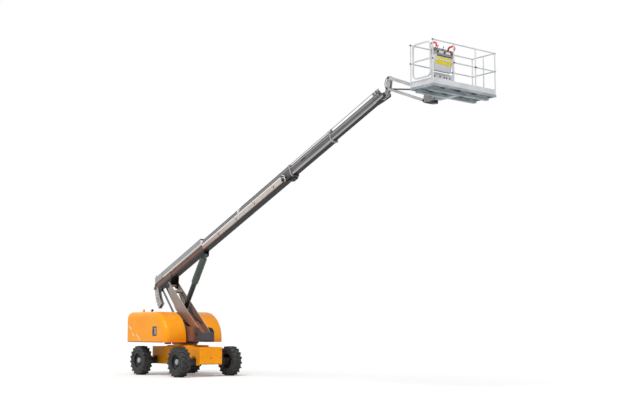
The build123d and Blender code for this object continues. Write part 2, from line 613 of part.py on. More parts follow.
# Boom sections
HEEL_EDGE = (
    # along the boom, above the pivot
    (BOOM_HEEL, 425), (BOOM_HEEL + 110, 85), (-140, 75), (-100, -60), (100, -60), (260, 230), (260, 400))
LIFT_EYE = local(BOOM, LIFT_TOP)
with BuildPart() as boom_section_1:
    add(boom_tube(SECTION_1, BOOM_HEEL, SECTION_1_END, SECTION_2))
    for side in (1, -1):
        with BuildSketch(BOOM.offset(-side * SECTION_1[0] / 2)):
            Polygon(*HEEL_EDGE, align=None)
            Circle(HEEL_BOSS)
            with Locations(local(BOOM, TIE_TOP)):
                Circle(TIE_BAR[1])
            with Locations((0, 0)):
                Circle(PIVOT_PIN + RUNNING_GAP, mode=Mode.SUBTRACT)
        extrude(amount=-side * HEEL_PLATE)
        with BuildSketch(BOOM.offset(-side * (SECTION_1[0] / 2))):
            with Locations(local(BOOM, TIE_TOP)):
                Circle(PIVOT_PIN)
        extrude(amount=side * (SECTION_1[0] / 2 - TIE_Y - TIE_BAR[0] / 2 - SLACK))
        with BuildSketch(BOOM.offset(-side * (LIFT_BARREL[0] + SLACK))):
            Polygon((LIFT_EYE[0] - 160, 220), (LIFT_EYE[0] - 70, LIFT_EYE[1] - 70),
                    (LIFT_EYE[0] + 70, LIFT_EYE[1] - 70), (LIFT_EYE[0] + 160, 220), align=None)
        extrude(amount=-side * 24)
    with BuildSketch(BOOM):
        with Locations(LIFT_EYE):
            Circle(PIVOT_PIN)
    extrude(amount=LIFT_BARREL[0] + SLACK + 24, both=True)
    with BuildSketch(BOOM):
        Polygon((SECTION_1_END - WEDGE[0], BOOM_AXIS_HEIGHT - SECTION_1[1] / 2 + SLACK),
                (SECTION_1_END - WEDGE[0] / 2, BOOM_AXIS_HEIGHT - SECTION_1[1] / 2 - WEDGE[1]),
                (SECTION_1_END, BOOM_AXIS_HEIGHT - SECTION_1[1] / 2 - WEDGE[1]),
                (SECTION_1_END, BOOM_AXIS_HEIGHT - SECTION_1[1] / 2 - SLACK), align=None)
    extrude(amount=WEDGE[2], both=True)
save(boom_section_1.part, "boom_section_1")

with BuildPart() as hose_guide:
    for inset, mode in ((0, Mode.ADD), (HOSE_GUIDE_WALL, Mode.SUBTRACT)):
        with BuildSketch(side_plane(BOOM_PIVOT, HOSE_GUIDE_ANGLES[0])):
            with BuildLine():
                CenterArc((0, 0), HOSE_GUIDE_RADII[1] - inset, 0, HOSE_GUIDE_ANGLES[1] - HOSE_GUIDE_ANGLES[0])
                CenterArc((0, 0), HOSE_GUIDE_RADII[0] - inset, 0, HOSE_GUIDE_ANGLES[1] - HOSE_GUIDE_ANGLES[0])
                Line((HOSE_GUIDE_RADII[0] - inset, 0), (HOSE_GUIDE_RADII[1] - inset, 0))
                turn = radians(HOSE_GUIDE_ANGLES[1] - HOSE_GUIDE_ANGLES[0])
                Line(((HOSE_GUIDE_RADII[0] - inset) * cos(turn), (HOSE_GUIDE_RADII[0] - inset) * sin(turn)),
                     ((HOSE_GUIDE_RADII[1] - inset) * cos(turn), (HOSE_GUIDE_RADII[1] - inset) * sin(turn)))
            make_face()
        extrude(amount=HOSE_GUIDE_HALF_WIDTH - inset, both=True, mode=mode)
    with BuildSketch(cross_plane(BOOM, BOOM_HEEL)):
        Rectangle(4 * HOSE_GUIDE_HALF_WIDTH, 4 * HOSE_GUIDE_RADII[1])
    extrude(amount=HOSE_GUIDE_RADII[1], mode=Mode.SUBTRACT)
save(hose_guide.part, "hose_guide")

BOOM_SIDE = SECTION_1[0] / 2
BOOM_TOP = BOOM_AXIS_HEIGHT + SECTION_1[1] / 2
with BuildPart() as hose_duct:
    for inset, mode in ((0, Mode.ADD), (DUCT_WALL, Mode.SUBTRACT)):
        with BuildSketch(cross_plane(BOOM, BOOM_HEEL)):
            Polygon((-BOOM_SIDE - DUCT_DEPTH + inset, 430 + inset), (-BOOM_SIDE - DUCT_DEPTH + inset, 650 - inset),
                    (-30 - inset, 650 - inset), (-30 - inset, BOOM_TOP + inset),
                    (-BOOM_SIDE - inset, BOOM_TOP + inset), (-BOOM_SIDE - inset, 430 + inset), align=None)
        extrude(amount=DUCT_END - BOOM_HEEL, mode=mode)
save(hose_duct.part, "hose_duct")

with BuildPart() as cable_tray:
    with BuildSketch(cross_plane(BOOM, DUCT_END + 20)):
        with Locations((-BOOM_SIDE - DUCT_DEPTH / 2, 350)):
            Rectangle(DUCT_DEPTH, 220)
        with Locations((-BOOM_SIDE - DUCT_DEPTH / 2 + DUCT_WALL, 350)):
            Rectangle(DUCT_DEPTH, 220 - 2 * DUCT_WALL, mode=Mode.SUBTRACT)
    extrude(amount=TRAY_END - DUCT_END - 20)
save(cable_tray.part, "cable_tray")

# Lift cylinder: barrel on the boom, a hollow middle stage and a rod whose eye sits on the arm
LIFT, LIFT_LENGTH = link_plane(LIFT_TOP, LIFT_FOOT)
with BuildPart() as lift_barrel:
    with BuildSketch(cross_plane(LIFT, 40)):
        Circle(LIFT_BARREL[0])
    extrude(amount=LIFT_BARREL[1] - 40)
    for start in (LIFT_BARREL[2] + GLAND[1], LIFT_BARREL[1] - GLAND[1]):
        with BuildSketch(cross_plane(LIFT, start)):
            Circle(LIFT_BARREL[0] + GLAND[0])
        extrude(amount=GLAND[1])
    with BuildSketch(LIFT):
        Circle(75)
    extrude(amount=LIFT_EYES[0], both=True)
    with BuildSketch(LIFT):
        Circle(PIVOT_PIN + RUNNING_GAP)
    extrude(amount=LIFT_BARREL[0], both=True, mode=Mode.SUBTRACT)
    with BuildSketch(cross_plane(LIFT, LIFT_BARREL[2])):
        Circle(LIFT_STAGE[0] + RUNNING_GAP)
    extrude(amount=LIFT_BARREL[1] - LIFT_BARREL[2], mode=Mode.SUBTRACT)
save(lift_barrel.part, "lift_barrel")

STAGE_END = LIFT_BARREL[1] + LIFT_STAGE[1]
with BuildPart() as lift_stage:
    with BuildSketch(cross_plane(LIFT, STAGE_END - LIFT_STAGE[2])):
        Circle(LIFT_STAGE[0])
        Circle(LIFT_ROD[0] + RUNNING_GAP, mode=Mode.SUBTRACT)
    extrude(amount=LIFT_STAGE[2])
save(lift_stage.part, "lift_stage")

with BuildPart() as lift_rod:
    with BuildSketch(cross_plane(LIFT, LIFT_LENGTH - LIFT_ROD[2])):
        Circle(LIFT_ROD[0])
    extrude(amount=LIFT_ROD[2] - LIFT_EYES[1])
    with BuildSketch(LIFT):
        with Locations((LIFT_LENGTH, 0)):
            Circle(66)
    extrude(amount=LIFT_EYES[1], both=True)
    with BuildSketch(LIFT):
        with Locations((LIFT_LENGTH, 0)):
            Circle(PIVOT_PIN / 2)
    extrude(amount=LIFT_ROD[0], both=True, mode=Mode.SUBTRACT)
save(lift_rod.part, "lift_rod")

with BuildPart() as boom_section_2:
    add(boom_tube(SECTION_2, SECTION_2_TAIL, SECTION_2_END, SECTION_3))
    with BuildSketch(cross_plane(BOOM, SECTION_2_END - COLLAR_LENGTH)):
        with Locations((0, CARRIER_HEIGHT)):
            Circle(2 * CARRIER_RADIUS)
        with Locations((0, (CARRIER_HEIGHT + BOOM_AXIS_HEIGHT + SECTION_2[1] / 2) / 2)):
            Rectangle(3 * CARRIER_RADIUS, CARRIER_HEIGHT - BOOM_AXIS_HEIGHT - SECTION_2[1] / 2)
        with Locations((0, CARRIER_HEIGHT)):
            Circle(CARRIER_RADIUS + RUNNING_GAP, mode=Mode.SUBTRACT)
    extrude(amount=COLLAR_LENGTH)
save(boom_section_2.part, "boom_section_2")

TIP = local(BOOM, TIP_PIVOT)
with BuildPart() as boom_section_3:
    add(boom_tube(SECTION_3, SECTION_3_TAIL, SECTION_3_END, SECTION_3_BORE))
    for side in (1, -1):
        with BuildSketch(BOOM.offset(-side * SECTION_3[0] / 2)):
            Polygon((SECTION_3_END - FORK_LENGTH, BOOM_AXIS_HEIGHT + 60), (TIP[0], TIP[1] + 70),
                    (TIP[0], TIP[1] - 70), (SECTION_3_END - FORK_LENGTH, BOOM_AXIS_HEIGHT - 110), align=None)
            with Locations(TIP):
                Circle(70)
        extrude(amount=-side * FORK_PLATE)
    with BuildSketch(BOOM):
        with Locations(TIP):
            Circle(JIB_PIN)
    extrude(amount=SECTION_3[0] / 2 + FORK_PLATE, both=True)
    with BuildSketch(cross_plane(BOOM, SECTION_3_END - COLLAR_LENGTH)):
        with Locations((0, CARRIER_HEIGHT / 2 + BOOM_AXIS_HEIGHT / 2 + SECTION_3[1] / 4)):
            Rectangle(2 * CARRIER_RADIUS, CARRIER_HEIGHT - BOOM_AXIS_HEIGHT - SECTION_3[1] / 2)
    extrude(amount=COLLAR_LENGTH / 2)
    with BuildSketch(cross_plane(BOOM, CARRIER_TAIL)):
        with Locations((0, CARRIER_HEIGHT)):
            Circle(CARRIER_RADIUS)
    extrude(amount=SECTION_3_END - CARRIER_TAIL)
save(boom_section_3.part, "boom_section_3")

# Level head: keeps the jib upright on the boom's tip
with BuildPart() as level_head:
    for side in (1, -1):
        with BuildSketch(SIDE.offset(side * (HEAD_Y - HEAD_PLATE))):
            with Locations(TIP_PIVOT, JIB_LOWER_FOOT, JIB_UPPER_FOOT):
                Circle(HEAD_EDGE)
            make_hull()
            with Locations(TIP_PIVOT):
                Circle(JIB_PIN + RUNNING_GAP, mode=Mode.SUBTRACT)
        extrude(amount=side * HEAD_PLATE)
    with BuildSketch(SIDE):
        with Locations(JIB_LOWER_FOOT, JIB_UPPER_FOOT):
            Circle(JIB_PIN)
    extrude(amount=JIB_ARM_Y + JIB_TUBE / 2 + 8, both=True)
save(level_head.part, "level_head")

JIB_PITCH = degrees(atan2(JIB_REACH[1], JIB_REACH[0]))
JIB_ARMS = (
    # name, pivot on the level head, depth of the bars, depth of the web between them
    ("jib_lower_arms", JIB_LOWER_FOOT, 66, 0),
    ("jib_upper_arms", JIB_UPPER_FOOT, 84, 12),
)
for name, foot, depth, web in JIB_ARMS:
    jib_plane = side_plane(foot, JIB_PITCH)
    with BuildPart() as arms:
        for side in (1, -1):
            with BuildSketch(jib_plane.offset(side * (JIB_ARM_Y - JIB_TUBE / 2))):
                with Locations((JIB_LENGTH / 2, 0)):
                    SlotCenterToCenter(JIB_LENGTH, depth)
                with Locations((0, 0), (JIB_LENGTH, 0)):
                    Circle(JIB_PIN + RUNNING_GAP, mode=Mode.SUBTRACT)
            extrude(amount=side * JIB_TUBE)
        if web:
            with BuildSketch(jib_plane):
                with Locations((JIB_LENGTH / 10, depth / 2 - web)):
                    Rectangle(JIB_LENGTH / 5, web, align=(Align.MIN, Align.CENTER))
            extrude(amount=JIB_ARM_Y, both=True)
    save(arms.part, name)

# Jib cylinder, from the lower pin of the level head towards the upper pin of the post
JIB_CYLINDER, JIB_CYLINDER_LENGTH = link_plane(JIB_LOWER_FOOT, POST_UPPER)
with BuildPart() as jib_barrel:
    with BuildSketch(cross_plane(JIB_CYLINDER, JIB_PIN)):
        Circle(JIB_BARREL[0])
    extrude(amount=JIB_BARREL[1] - JIB_PIN)
    with BuildSketch(JIB_CYLINDER):
        Circle(2 * JIB_PIN)
    extrude(amount=JIB_EYE, both=True)
    with BuildSketch(JIB_CYLINDER):
        Circle(JIB_PIN + RUNNING_GAP)
    extrude(amount=JIB_BARREL[0], both=True, mode=Mode.SUBTRACT)
    with BuildSketch(cross_plane(JIB_CYLINDER, 3 * JIB_PIN)):
        Circle(JIB_ROD_RADIUS + RUNNING_GAP)
    extrude(amount=JIB_BARREL[1] - 3 * JIB_PIN, mode=Mode.SUBTRACT)
save(jib_barrel.part, "jib_barrel")
with BuildPart() as jib_rod:
    with BuildSketch(cross_plane(JIB_CYLINDER, JIB_BARREL[1] - 450)):
        Circle(JIB_ROD_RADIUS)
    extrude(amount=JIB_CYLINDER_LENGTH - JIB_BARREL[1] + 450)
    with BuildSketch(JIB_CYLINDER):
        with Locations((JIB_CYLINDER_LENGTH, 0)):
            Circle(2 * JIB_PIN)
    extrude(amount=JIB_EYE, both=True)
    with BuildSketch(JIB_CYLINDER):
        with Locations((JIB_CYLINDER_LENGTH, 0)):
            Circle(JIB_PIN / 2)
    extrude(amount=JIB_BARREL[0], both=True, mode=Mode.SUBTRACT)
save(jib_rod.part, "jib_rod")

# Post at the jib's end, with the rotator that turns the platform
with BuildPart() as jib_post:
    for side in (1, -1):
        with BuildSketch(SIDE.offset(side * (HEAD_Y - HEAD_PLATE))):
            with Locations(POST_UPPER, POST_LOWER, (PLATFORM_AXIS_X - ROTATOR_RADIUS - 20, POST_LOWER[1] - 70)):
                Circle(HEAD_EDGE)
            make_hull()
        extrude(amount=side * HEAD_PLATE)
        with BuildSketch(SIDE.offset(side * HEAD_Y)):
            with Locations(POST_LOWER, POST_UPPER):
                Circle(JIB_PIN)
        extrude(amount=side * (JIB_ARM_Y + JIB_TUBE / 2 + 8 - HEAD_Y))
    with Locations((PLATFORM_AXIS_X, 0, PLATFORM_FLOOR - RUNNING_GAP)):
        Cylinder(ROTATOR_RADIUS, ROTATOR_HEIGHT, align=(Align.CENTER, Align.CENTER, Align.MAX))
save(jib_post.part, "jib_post")

# Platform: floor with its tongue, four railed sides, a console and a gate
BAY_PITCH = (2 * PLATFORM_HALF_WIDTH - FLOOR_BEAM) / FLOOR_BAYS
FLOOR_BEAMS = (
    # rear end, length, half width
    (PLATFORM_AXIS_X + ROTATOR_RADIUS + 3 * SLACK, PLATFORM_DEPTH, TONGUE_RADIUS),
    (PLATFORM_REAR + 110, 120, PLATFORM_HALF_WIDTH - 100),
    (PLATFORM_FRONT - 310, 120, PLATFORM_HALF_WIDTH - 100),
)
with BuildPart() as platform_floor:
    with Locations((PLATFORM_MIDDLE, 0, PLATFORM_FLOOR)):
        Box(PLATFORM_DEPTH, 2 * PLATFORM_HALF_WIDTH, FLOOR_THICKNESS, align=(Align.CENTER, Align.CENTER, Align.MIN))
        with GridLocations(0, BAY_PITCH, 1, FLOOR_BAYS):
            Box(PLATFORM_DEPTH - 2 * FLOOR_BEAM, BAY_PITCH - FLOOR_BEAM, FLOOR_THICKNESS - FLOOR_PLATE,
                align=(Align.CENTER, Align.CENTER, Align.MIN), mode=Mode.SUBTRACT)
    with BuildSketch(Plane.XY.offset(PLATFORM_FLOOR)):
        with Locations((PLATFORM_AXIS_X, 0)):
            Circle(TONGUE_RADIUS)
            Rectangle(PLATFORM_REAR - PLATFORM_AXIS_X, 2 * TONGUE_RADIUS, align=(Align.MIN, Align.CENTER))
    extrude(amount=FLOOR_THICKNESS)
    for along, length, half_width in FLOOR_BEAMS:
        with Locations((along, 0, PLATFORM_FLOOR)):
            Box(length, 2 * half_width, BEAM_DEPTH, align=(Align.MIN, Align.CENTER, Align.MAX))
save(platform_floor.part, "platform_floor")

POST_PLACES = (-PLATFORM_HALF_WIDTH + RAIL_RADIUS, -POST_Y, POST_Y, PLATFORM_HALF_WIDTH - RAIL_RADIUS)
for name, along, inward in (("rail_rear", PLATFORM_REAR, 1), ("rail_front", PLATFORM_FRONT, -1)):
    middle = along + inward * RAIL_RADIUS
    with BuildPart() as rail:
        with BuildSketch(Plane.XZ.offset(-PLATFORM_HALF_WIDTH)):
            with Locations((middle, RAIL_TOP - RAIL_RADIUS), (middle, MID_RAIL)):
                Circle(RAIL_RADIUS)
        extrude(amount=2 * PLATFORM_HALF_WIDTH)
        with BuildSketch(Plane.XY.offset(FLOOR_TOP)):
            with Locations(*[(middle, place) for place in POST_PLACES]):
                Circle(POST_RADIUS)
        extrude(amount=RAIL_TOP - RAIL_RADIUS - FLOOR_TOP)
        with Locations((middle, 0, FLOOR_TOP)):
            Box(TOE_PLATE, 2 * PLATFORM_HALF_WIDTH - 2 * RAIL_RADIUS, TOE_BOARD,
                align=(Align.CENTER, Align.CENTER, Align.MIN))
        if inward > 0:
            with BuildSketch(Plane.YZ.offset(middle - TOE_PLATE / 2)):
                with Locations((0, FLOOR_TOP)):
                    Rectangle(2 * POST_Y, KICK_HEIGHT, align=(Align.CENTER, Align.MIN))
                with Locations((0, FLOOR_TOP + KICK_HOLE_RISE)):
                    with GridLocations(KICK_PITCH, 0, KICK_HOLES, 1):
                        Circle(KICK_BORE / 2, mode=Mode.SUBTRACT)
            extrude(amount=TOE_PLATE)
            with BuildSketch(Plane.YZ.offset(middle - ANCHOR_PLATE / 2)):
                for outward, place in ((-1, POST_PLACES[1]), (1, POST_PLACES[2])):
                    with Locations((place + outward * ANCHOR_SIZE / 2, (FLOOR_TOP + MID_RAIL) / 2)):
                        RectangleRounded(ANCHOR_SIZE, ANCHOR_SIZE, ANCHOR_SIZE / 4)
                        Circle(ANCHOR_BORE / 2, mode=Mode.SUBTRACT)
            extrude(amount=ANCHOR_PLATE)
        for level in HINGE_LEVELS if along > GATE_HINGE_X else ():
            with BuildSketch(Plane.XY.offset(level - RUNNING_GAP)):
                with Locations((GATE_HINGE_X, POST_PLACES[0])):
                    Circle(HINGE_RADIUS)
                    Rectangle(middle - GATE_HINGE_X, HINGE_RADIUS, align=(Align.MIN, Align.CENTER))
            extrude(amount=-HINGE_RADIUS)
            with Locations((GATE_HINGE_X, POST_PLACES[0], level - HINGE_RADIUS)):
                Cylinder(HINGE_PIN, HINGE_RADIUS + HINGE_HEIGHT, align=(Align.CENTER, Align.CENTER, Align.MIN))
    save(rail.part, name)

END_CLEAR = 2 * RAIL_RADIUS + RUNNING_GAP
for name, side, heights in (("rail_left", 1, (RAIL_TOP - RAIL_RADIUS, MID_RAIL)), ("rail_right", -1, ())):
    across = side * (PLATFORM_HALF_WIDTH - RAIL_RADIUS)
    with BuildPart() as rail:
        with Locations((PLATFORM_MIDDLE, across, FLOOR_TOP)):
            Box(PLATFORM_DEPTH - 2 * END_CLEAR, TOE_PLATE, TOE_BOARD, align=(Align.CENTER, Align.CENTER, Align.MIN))
        for height in (FLOOR_TOP + TOE_BOARD, *heights):
            with BuildSketch(Plane.YZ.offset(PLATFORM_REAR + END_CLEAR)):
                with Locations((across, height)):
                    Circle(RAIL_RADIUS)
            extrude(amount=PLATFORM_DEPTH - 2 * END_CLEAR)
        if heights:
            with BuildSketch(Plane.XY.offset(FLOOR_TOP)):
                with Locations((PLATFORM_MIDDLE, across)):
                    Circle(POST_RADIUS)
            extrude(amount=RAIL_TOP - RAIL_RADIUS - FLOOR_TOP)
    save(rail.part, name)

GATE_EDGE = GATE_HINGE_X - HINGE_RADIUS - SLACK
GATE_Y = RAIL_RADIUS - PLATFORM_HALF_WIDTH
with BuildPart() as gate:
    with BuildSketch(Plane.XZ.offset(GATE_TUBE / 2 - GATE_Y)):
        with Locations((GATE_EDGE - GATE_WIDTH / 2, (GATE_TOP + GATE_BOTTOM) / 2)):
            RectangleRounded(GATE_WIDTH, GATE_TOP - GATE_BOTTOM, 140)
            RectangleRounded(GATE_WIDTH - 2 * GATE_TUBE, GATE_TOP - GATE_BOTTOM - 2 * GATE_TUBE, 140 - GATE_TUBE,
                             mode=Mode.SUBTRACT)
            Rectangle(GATE_WIDTH - GATE_TUBE, GATE_TUBE)
    extrude(amount=-GATE_TUBE)
    for level in HINGE_LEVELS:
        with BuildSketch(Plane.XY.offset(level)):
            with Locations((GATE_HINGE_X, GATE_Y)):
                Circle(HINGE_RADIUS)
                Rectangle(GATE_HINGE_X - GATE_EDGE + SLACK, HINGE_RADIUS, align=(Align.MAX, Align.CENTER))
                Circle(HINGE_PIN + RUNNING_GAP, mode=Mode.SUBTRACT)
        extrude(amount=HINGE_HEIGHT)
save(gate.part, "gate")

CONSOLE_Y = (-440, 240)
GUARD_THICKNESS = 20
CONSOLE_WALL = 5
REST = PLATFORM_REAR + 2 * RAIL_RADIUS + RUNNING_GAP
CONSOLE_EDGE = (
    # along the machine, height
    (REST, MID_RAIL - 60), (REST + 60, MID_RAIL - 60), (REST + 190, RAIL_TOP - 130), (REST + 190, RAIL_TOP - 50),
    (REST, RAIL_TOP + 80))
with BuildPart() as control_console:
    with BuildSketch(Plane.XZ.offset(-CONSOLE_Y[1])):
        Polygon(*CONSOLE_EDGE, align=None)
    extrude(amount=CONSOLE_Y[1] - CONSOLE_Y[0])
    offset(amount=-CONSOLE_WALL, openings=faces().sort_by(Axis.Z)[0])
save(control_console.part, "control_console")

with BuildPart() as console_guards:
    for place, outward in zip(CONSOLE_Y, (-1, 1)):
        with BuildSketch(Plane.XZ.offset(-place)):
            with Locations((REST + 90, RAIL_TOP + 80)):
                RectangleRounded(260, 180, 80)
                RectangleRounded(220, 140, 60, mode=Mode.SUBTRACT)
        extrude(amount=-outward * GUARD_THICKNESS)
save(console_guards.part, "console_guards")
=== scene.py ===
# %% [markdown]
# A boom lift is a small lorry chassis with a slewing turntable, a long telescopic boom and a railed
# platform. The solids come from the CAD model as a fixed frame. This lesson adds what a maker bolts,
# clips or paints on afterwards, and then gives every surface its finish.

# %% Load the frame
from math import cos, pi, radians, sin

import bmesh
import bpy
import numpy as np
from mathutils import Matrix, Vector


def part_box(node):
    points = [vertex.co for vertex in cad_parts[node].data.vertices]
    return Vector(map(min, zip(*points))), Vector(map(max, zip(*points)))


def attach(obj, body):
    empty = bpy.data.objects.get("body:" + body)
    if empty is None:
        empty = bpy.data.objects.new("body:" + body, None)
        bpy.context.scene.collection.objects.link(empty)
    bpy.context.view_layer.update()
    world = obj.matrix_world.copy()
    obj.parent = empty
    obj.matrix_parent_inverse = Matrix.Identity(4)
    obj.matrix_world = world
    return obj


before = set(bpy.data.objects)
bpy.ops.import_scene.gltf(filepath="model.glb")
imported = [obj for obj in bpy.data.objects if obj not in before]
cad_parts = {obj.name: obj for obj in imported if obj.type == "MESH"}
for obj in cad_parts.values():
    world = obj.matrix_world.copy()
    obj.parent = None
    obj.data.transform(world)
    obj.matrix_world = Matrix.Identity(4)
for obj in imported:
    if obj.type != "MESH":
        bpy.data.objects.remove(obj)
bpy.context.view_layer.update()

# %% [markdown]
# The boom lies at a pitch, so its paint and fittings are placed in its own axes: along the boom, above it,
# and out to the side. The pivot at its heel is the zero point of both distances.

# %% Boom axes
PITCH = radians(22.5)
ALONG = np.array([cos(PITCH), 0, sin(PITCH)])
ABOVE = np.array([-sin(PITCH), 0, cos(PITCH)])
PIVOT = np.array([-0.93, 0, 3.23])
X, Y, Z = np.eye(3)


def on_boom(along, out, above):
    """Place on the boom: its pivot plus distances along it, out to the left and above it."""
    return PIVOT + along * ALONG + out * Y + above * ABOVE


print("boom direction:", np.round(ALONG, 3))

# %% [markdown]
# Every finish here is a Principled shader whose colour, roughness and bump vary a little with noise read
# from Object coordinates. Painted steel could be one flat colour, but real paint shows faint dust and
# orange peel, so a broad noise shifts the colour and a fine one moves the surface. Where a maker changes
# colour along a part, and where painted reflections, highlights and shade lie, a tint fades in between
# two distances.

# %% Finishes as shader nodes
FAR = 99
RAMP_ENDS = (0.35, 0.62)
NOISE_DETAIL = 6
BUMP_DISTANCE = 0.004


def tinted(nodes, links, place, colour, tint, limits):
    """Mixes a tint over a colour where the place, or the normal, along each direction lies in its limits."""
    mask = None
    for direction, low, high, soft, source in limits:
        distance = nodes.new("ShaderNodeVectorMath")
        distance.operation = "DOT_PRODUCT"
        distance.inputs[1].default_value = direction
        links.new(place.outputs[source], distance.inputs[0])
        for edge, ends in ((low, (0, 1)), (high, (1, 0))):
            step = nodes.new("ShaderNodeMapRange")
            step.interpolation_type = "SMOOTHSTEP"
            step.inputs["From Min"].default_value = edge - soft
            step.inputs["From Max"].default_value = edge + soft
            step.inputs["To Min"].default_value, step.inputs["To Max"].default_value = ends
            links.new(distance.outputs["Value"], step.inputs["Value"])
            if mask is None:
                mask = step.outputs["Result"]
                continue
            product = nodes.new("ShaderNodeMath")
            product.operation = "MULTIPLY"
            links.new(mask, product.inputs[0])
            links.new(step.outputs["Result"], product.inputs[1])
            mask = product.outputs[0]
    mix = nodes.new("ShaderNodeMix")
    mix.data_type = "RGBA"
    factor, first, second = (mix.inputs[i] for i in (0, 6, 7))
    second.default_value = (*tint, 1)
    links.new(mask, factor)
    links.new(colour, first)
    return mix.outputs[2]


def finish(name, colour, shade, roughness, metallic=0.0, scale=2.0, grain=60.0, bump=0.05, coat=0.0,
           shine=0.5, tints=()):
    """Noise of one scale mixes the colour with a darker shade, and a finer noise sets roughness and bump."""
    material = bpy.data.materials.new(name)
    material.use_nodes = True
    nodes, links = material.node_tree.nodes, material.node_tree.links
    shader = nodes["Principled BSDF"]
    place = nodes.new("ShaderNodeTexCoord")
    broad = nodes.new("ShaderNodeTexNoise")
    broad.inputs["Scale"].default_value = scale
    broad.inputs["Detail"].default_value = NOISE_DETAIL
    fine = nodes.new("ShaderNodeTexNoise")
    fine.inputs["Scale"].default_value = grain
    ramp = nodes.new("ShaderNodeValToRGB")
    for stop, position, paint in zip(ramp.color_ramp.elements, RAMP_ENDS, (shade, colour)):
        stop.position = position
        stop.color = (*paint, 1)
    spread = nodes.new("ShaderNodeMapRange")
    spread.inputs["To Min"].default_value, spread.inputs["To Max"].default_value = roughness
    height = nodes.new("ShaderNodeBump")
    height.inputs["Strength"].default_value = bump
    height.inputs["Distance"].default_value = BUMP_DISTANCE
    links.new(place.outputs["Object"], broad.inputs["Vector"])
    links.new(place.outputs["Object"], fine.inputs["Vector"])
    links.new(broad.outputs["Fac"], ramp.inputs["Fac"])
    painted = ramp.outputs["Color"]
    for tint, limits in tints:
        painted = tinted(nodes, links, place, painted, tint, limits)
    links.new(painted, shader.inputs["Base Color"])
    links.new(fine.outputs["Fac"], spread.inputs["Value"])
    links.new(spread.outputs["Result"], shader.inputs["Roughness"])
    links.new(fine.outputs["Fac"], height.inputs["Height"])
    links.new(height.outputs["Normal"], shader.inputs["Normal"])
    shader.inputs["Metallic"].default_value = metallic
    shader.inputs["Coat Weight"].default_value = coat
    shader.inputs["Specular IOR Level"].default_value = shine
    return material


print("shader functions ready, a tint fades over a soft distance at both limits")

# %% [markdown]
# A limit says where a tint begins and ends. Most limits on the boom count from its pivot, so two short
# functions add that zero point. The boom's own paint takes six tints: the dark slot, the upper line, a
# painted reflection of the orange covers near the heel, a painted reflection on the lower facet, painted
# shade on the underside, and the push tube.

# %% Limits of tints and the boom's paint
BOOM_ZERO, HEEL_ZERO = float(ABOVE @ PIVOT), float(ALONG @ PIVOT)
SLOT_HEIGHTS = (0.41, 0.45)
UPPER_LINE = (0.074, 0.046)
# Height and softness of the painted reflection of the orange covers on the boom's sides near the heel.
COVER_REFLECTION_TOP, COVER_REFLECTION_SOFT = 0.42, 1.6
PUSH_TUBE_BOTTOM = 0.655


def between(direction, low, high, soft, source="Object"):
    """One limit: the place, or the normal, along a direction lies from low to high, and fades softly there."""
    return tuple(direction), low, high, soft, source


def above_pivot(low, high, soft):
    """A limit in the distance above the boom's pivot, square to the boom."""
    return between(ABOVE, BOOM_ZERO + low, BOOM_ZERO + high, soft)


def along_boom(low, high, soft):
    """A limit in the distance along the boom from its pivot."""
    return between(ALONG, HEEL_ZERO + low, HEEL_ZERO + high, soft)


def boom_finish(name, bottom, facet, top, cover_reflection_end=-FAR, slot=(-FAR, -FAR), edge=(0.42, 0.41, 0.41)):
    """Grey paint, and tints between heights that count from the section's bottom, facet and top."""
    tints = (
        ((0.012, 0.012, 0.013), (along_boom(*slot, 0.004), above_pivot(*SLOT_HEIGHTS, 0.004))),
        ((0.40, 0.40, 0.40), (above_pivot(top - UPPER_LINE[0], top - UPPER_LINE[1], 0.003),)),
        # Painted reflection of the orange covers: a warm tint on the sides near the heel.
        ((0.215, 0.115, 0.08), (along_boom(-FAR, cover_reflection_end, COVER_REFLECTION_SOFT),
                                above_pivot(bottom + facet, COVER_REFLECTION_TOP, 0.03))),
        # Painted reflection on the lower facet, light on the inner sections.
        (edge, (above_pivot(bottom + 0.004, bottom + 1.5 * facet, 0.003),)),
        # Painted shade on the underside.
        ((0.016, 0.016, 0.017), (above_pivot(-FAR, bottom + 0.003, 0.002),)),
        ((0.72, 0.72, 0.71), (above_pivot(PUSH_TUBE_BOTTOM, FAR, 0.003),)),
    )
    return finish(name, (0.15, 0.143, 0.145), (0.105, 0.10, 0.102), (0.34, 0.5), scale=1.3, shine=0.2,
                  tints=tints)


print("boom zero:", round(BOOM_ZERO, 3), "above and", round(HEEL_ZERO, 3), "along")

# %% [markdown]
# Each line gives a colour, a darker shade and the range of roughness. A tint is a colour with its limits.
# The rims take a pale hub and the arm light plate edges. The covers' lower front takes painted shade, and
# the arm's lower part and the turntable a warm painted reflection of the orange covers beside them.

# %% Finishes of chassis, boom and cylinders
AXLE_X, WHEEL_Z, HUB_HALF, HUB_Y = 1.3, 0.52, 0.102, 1.134
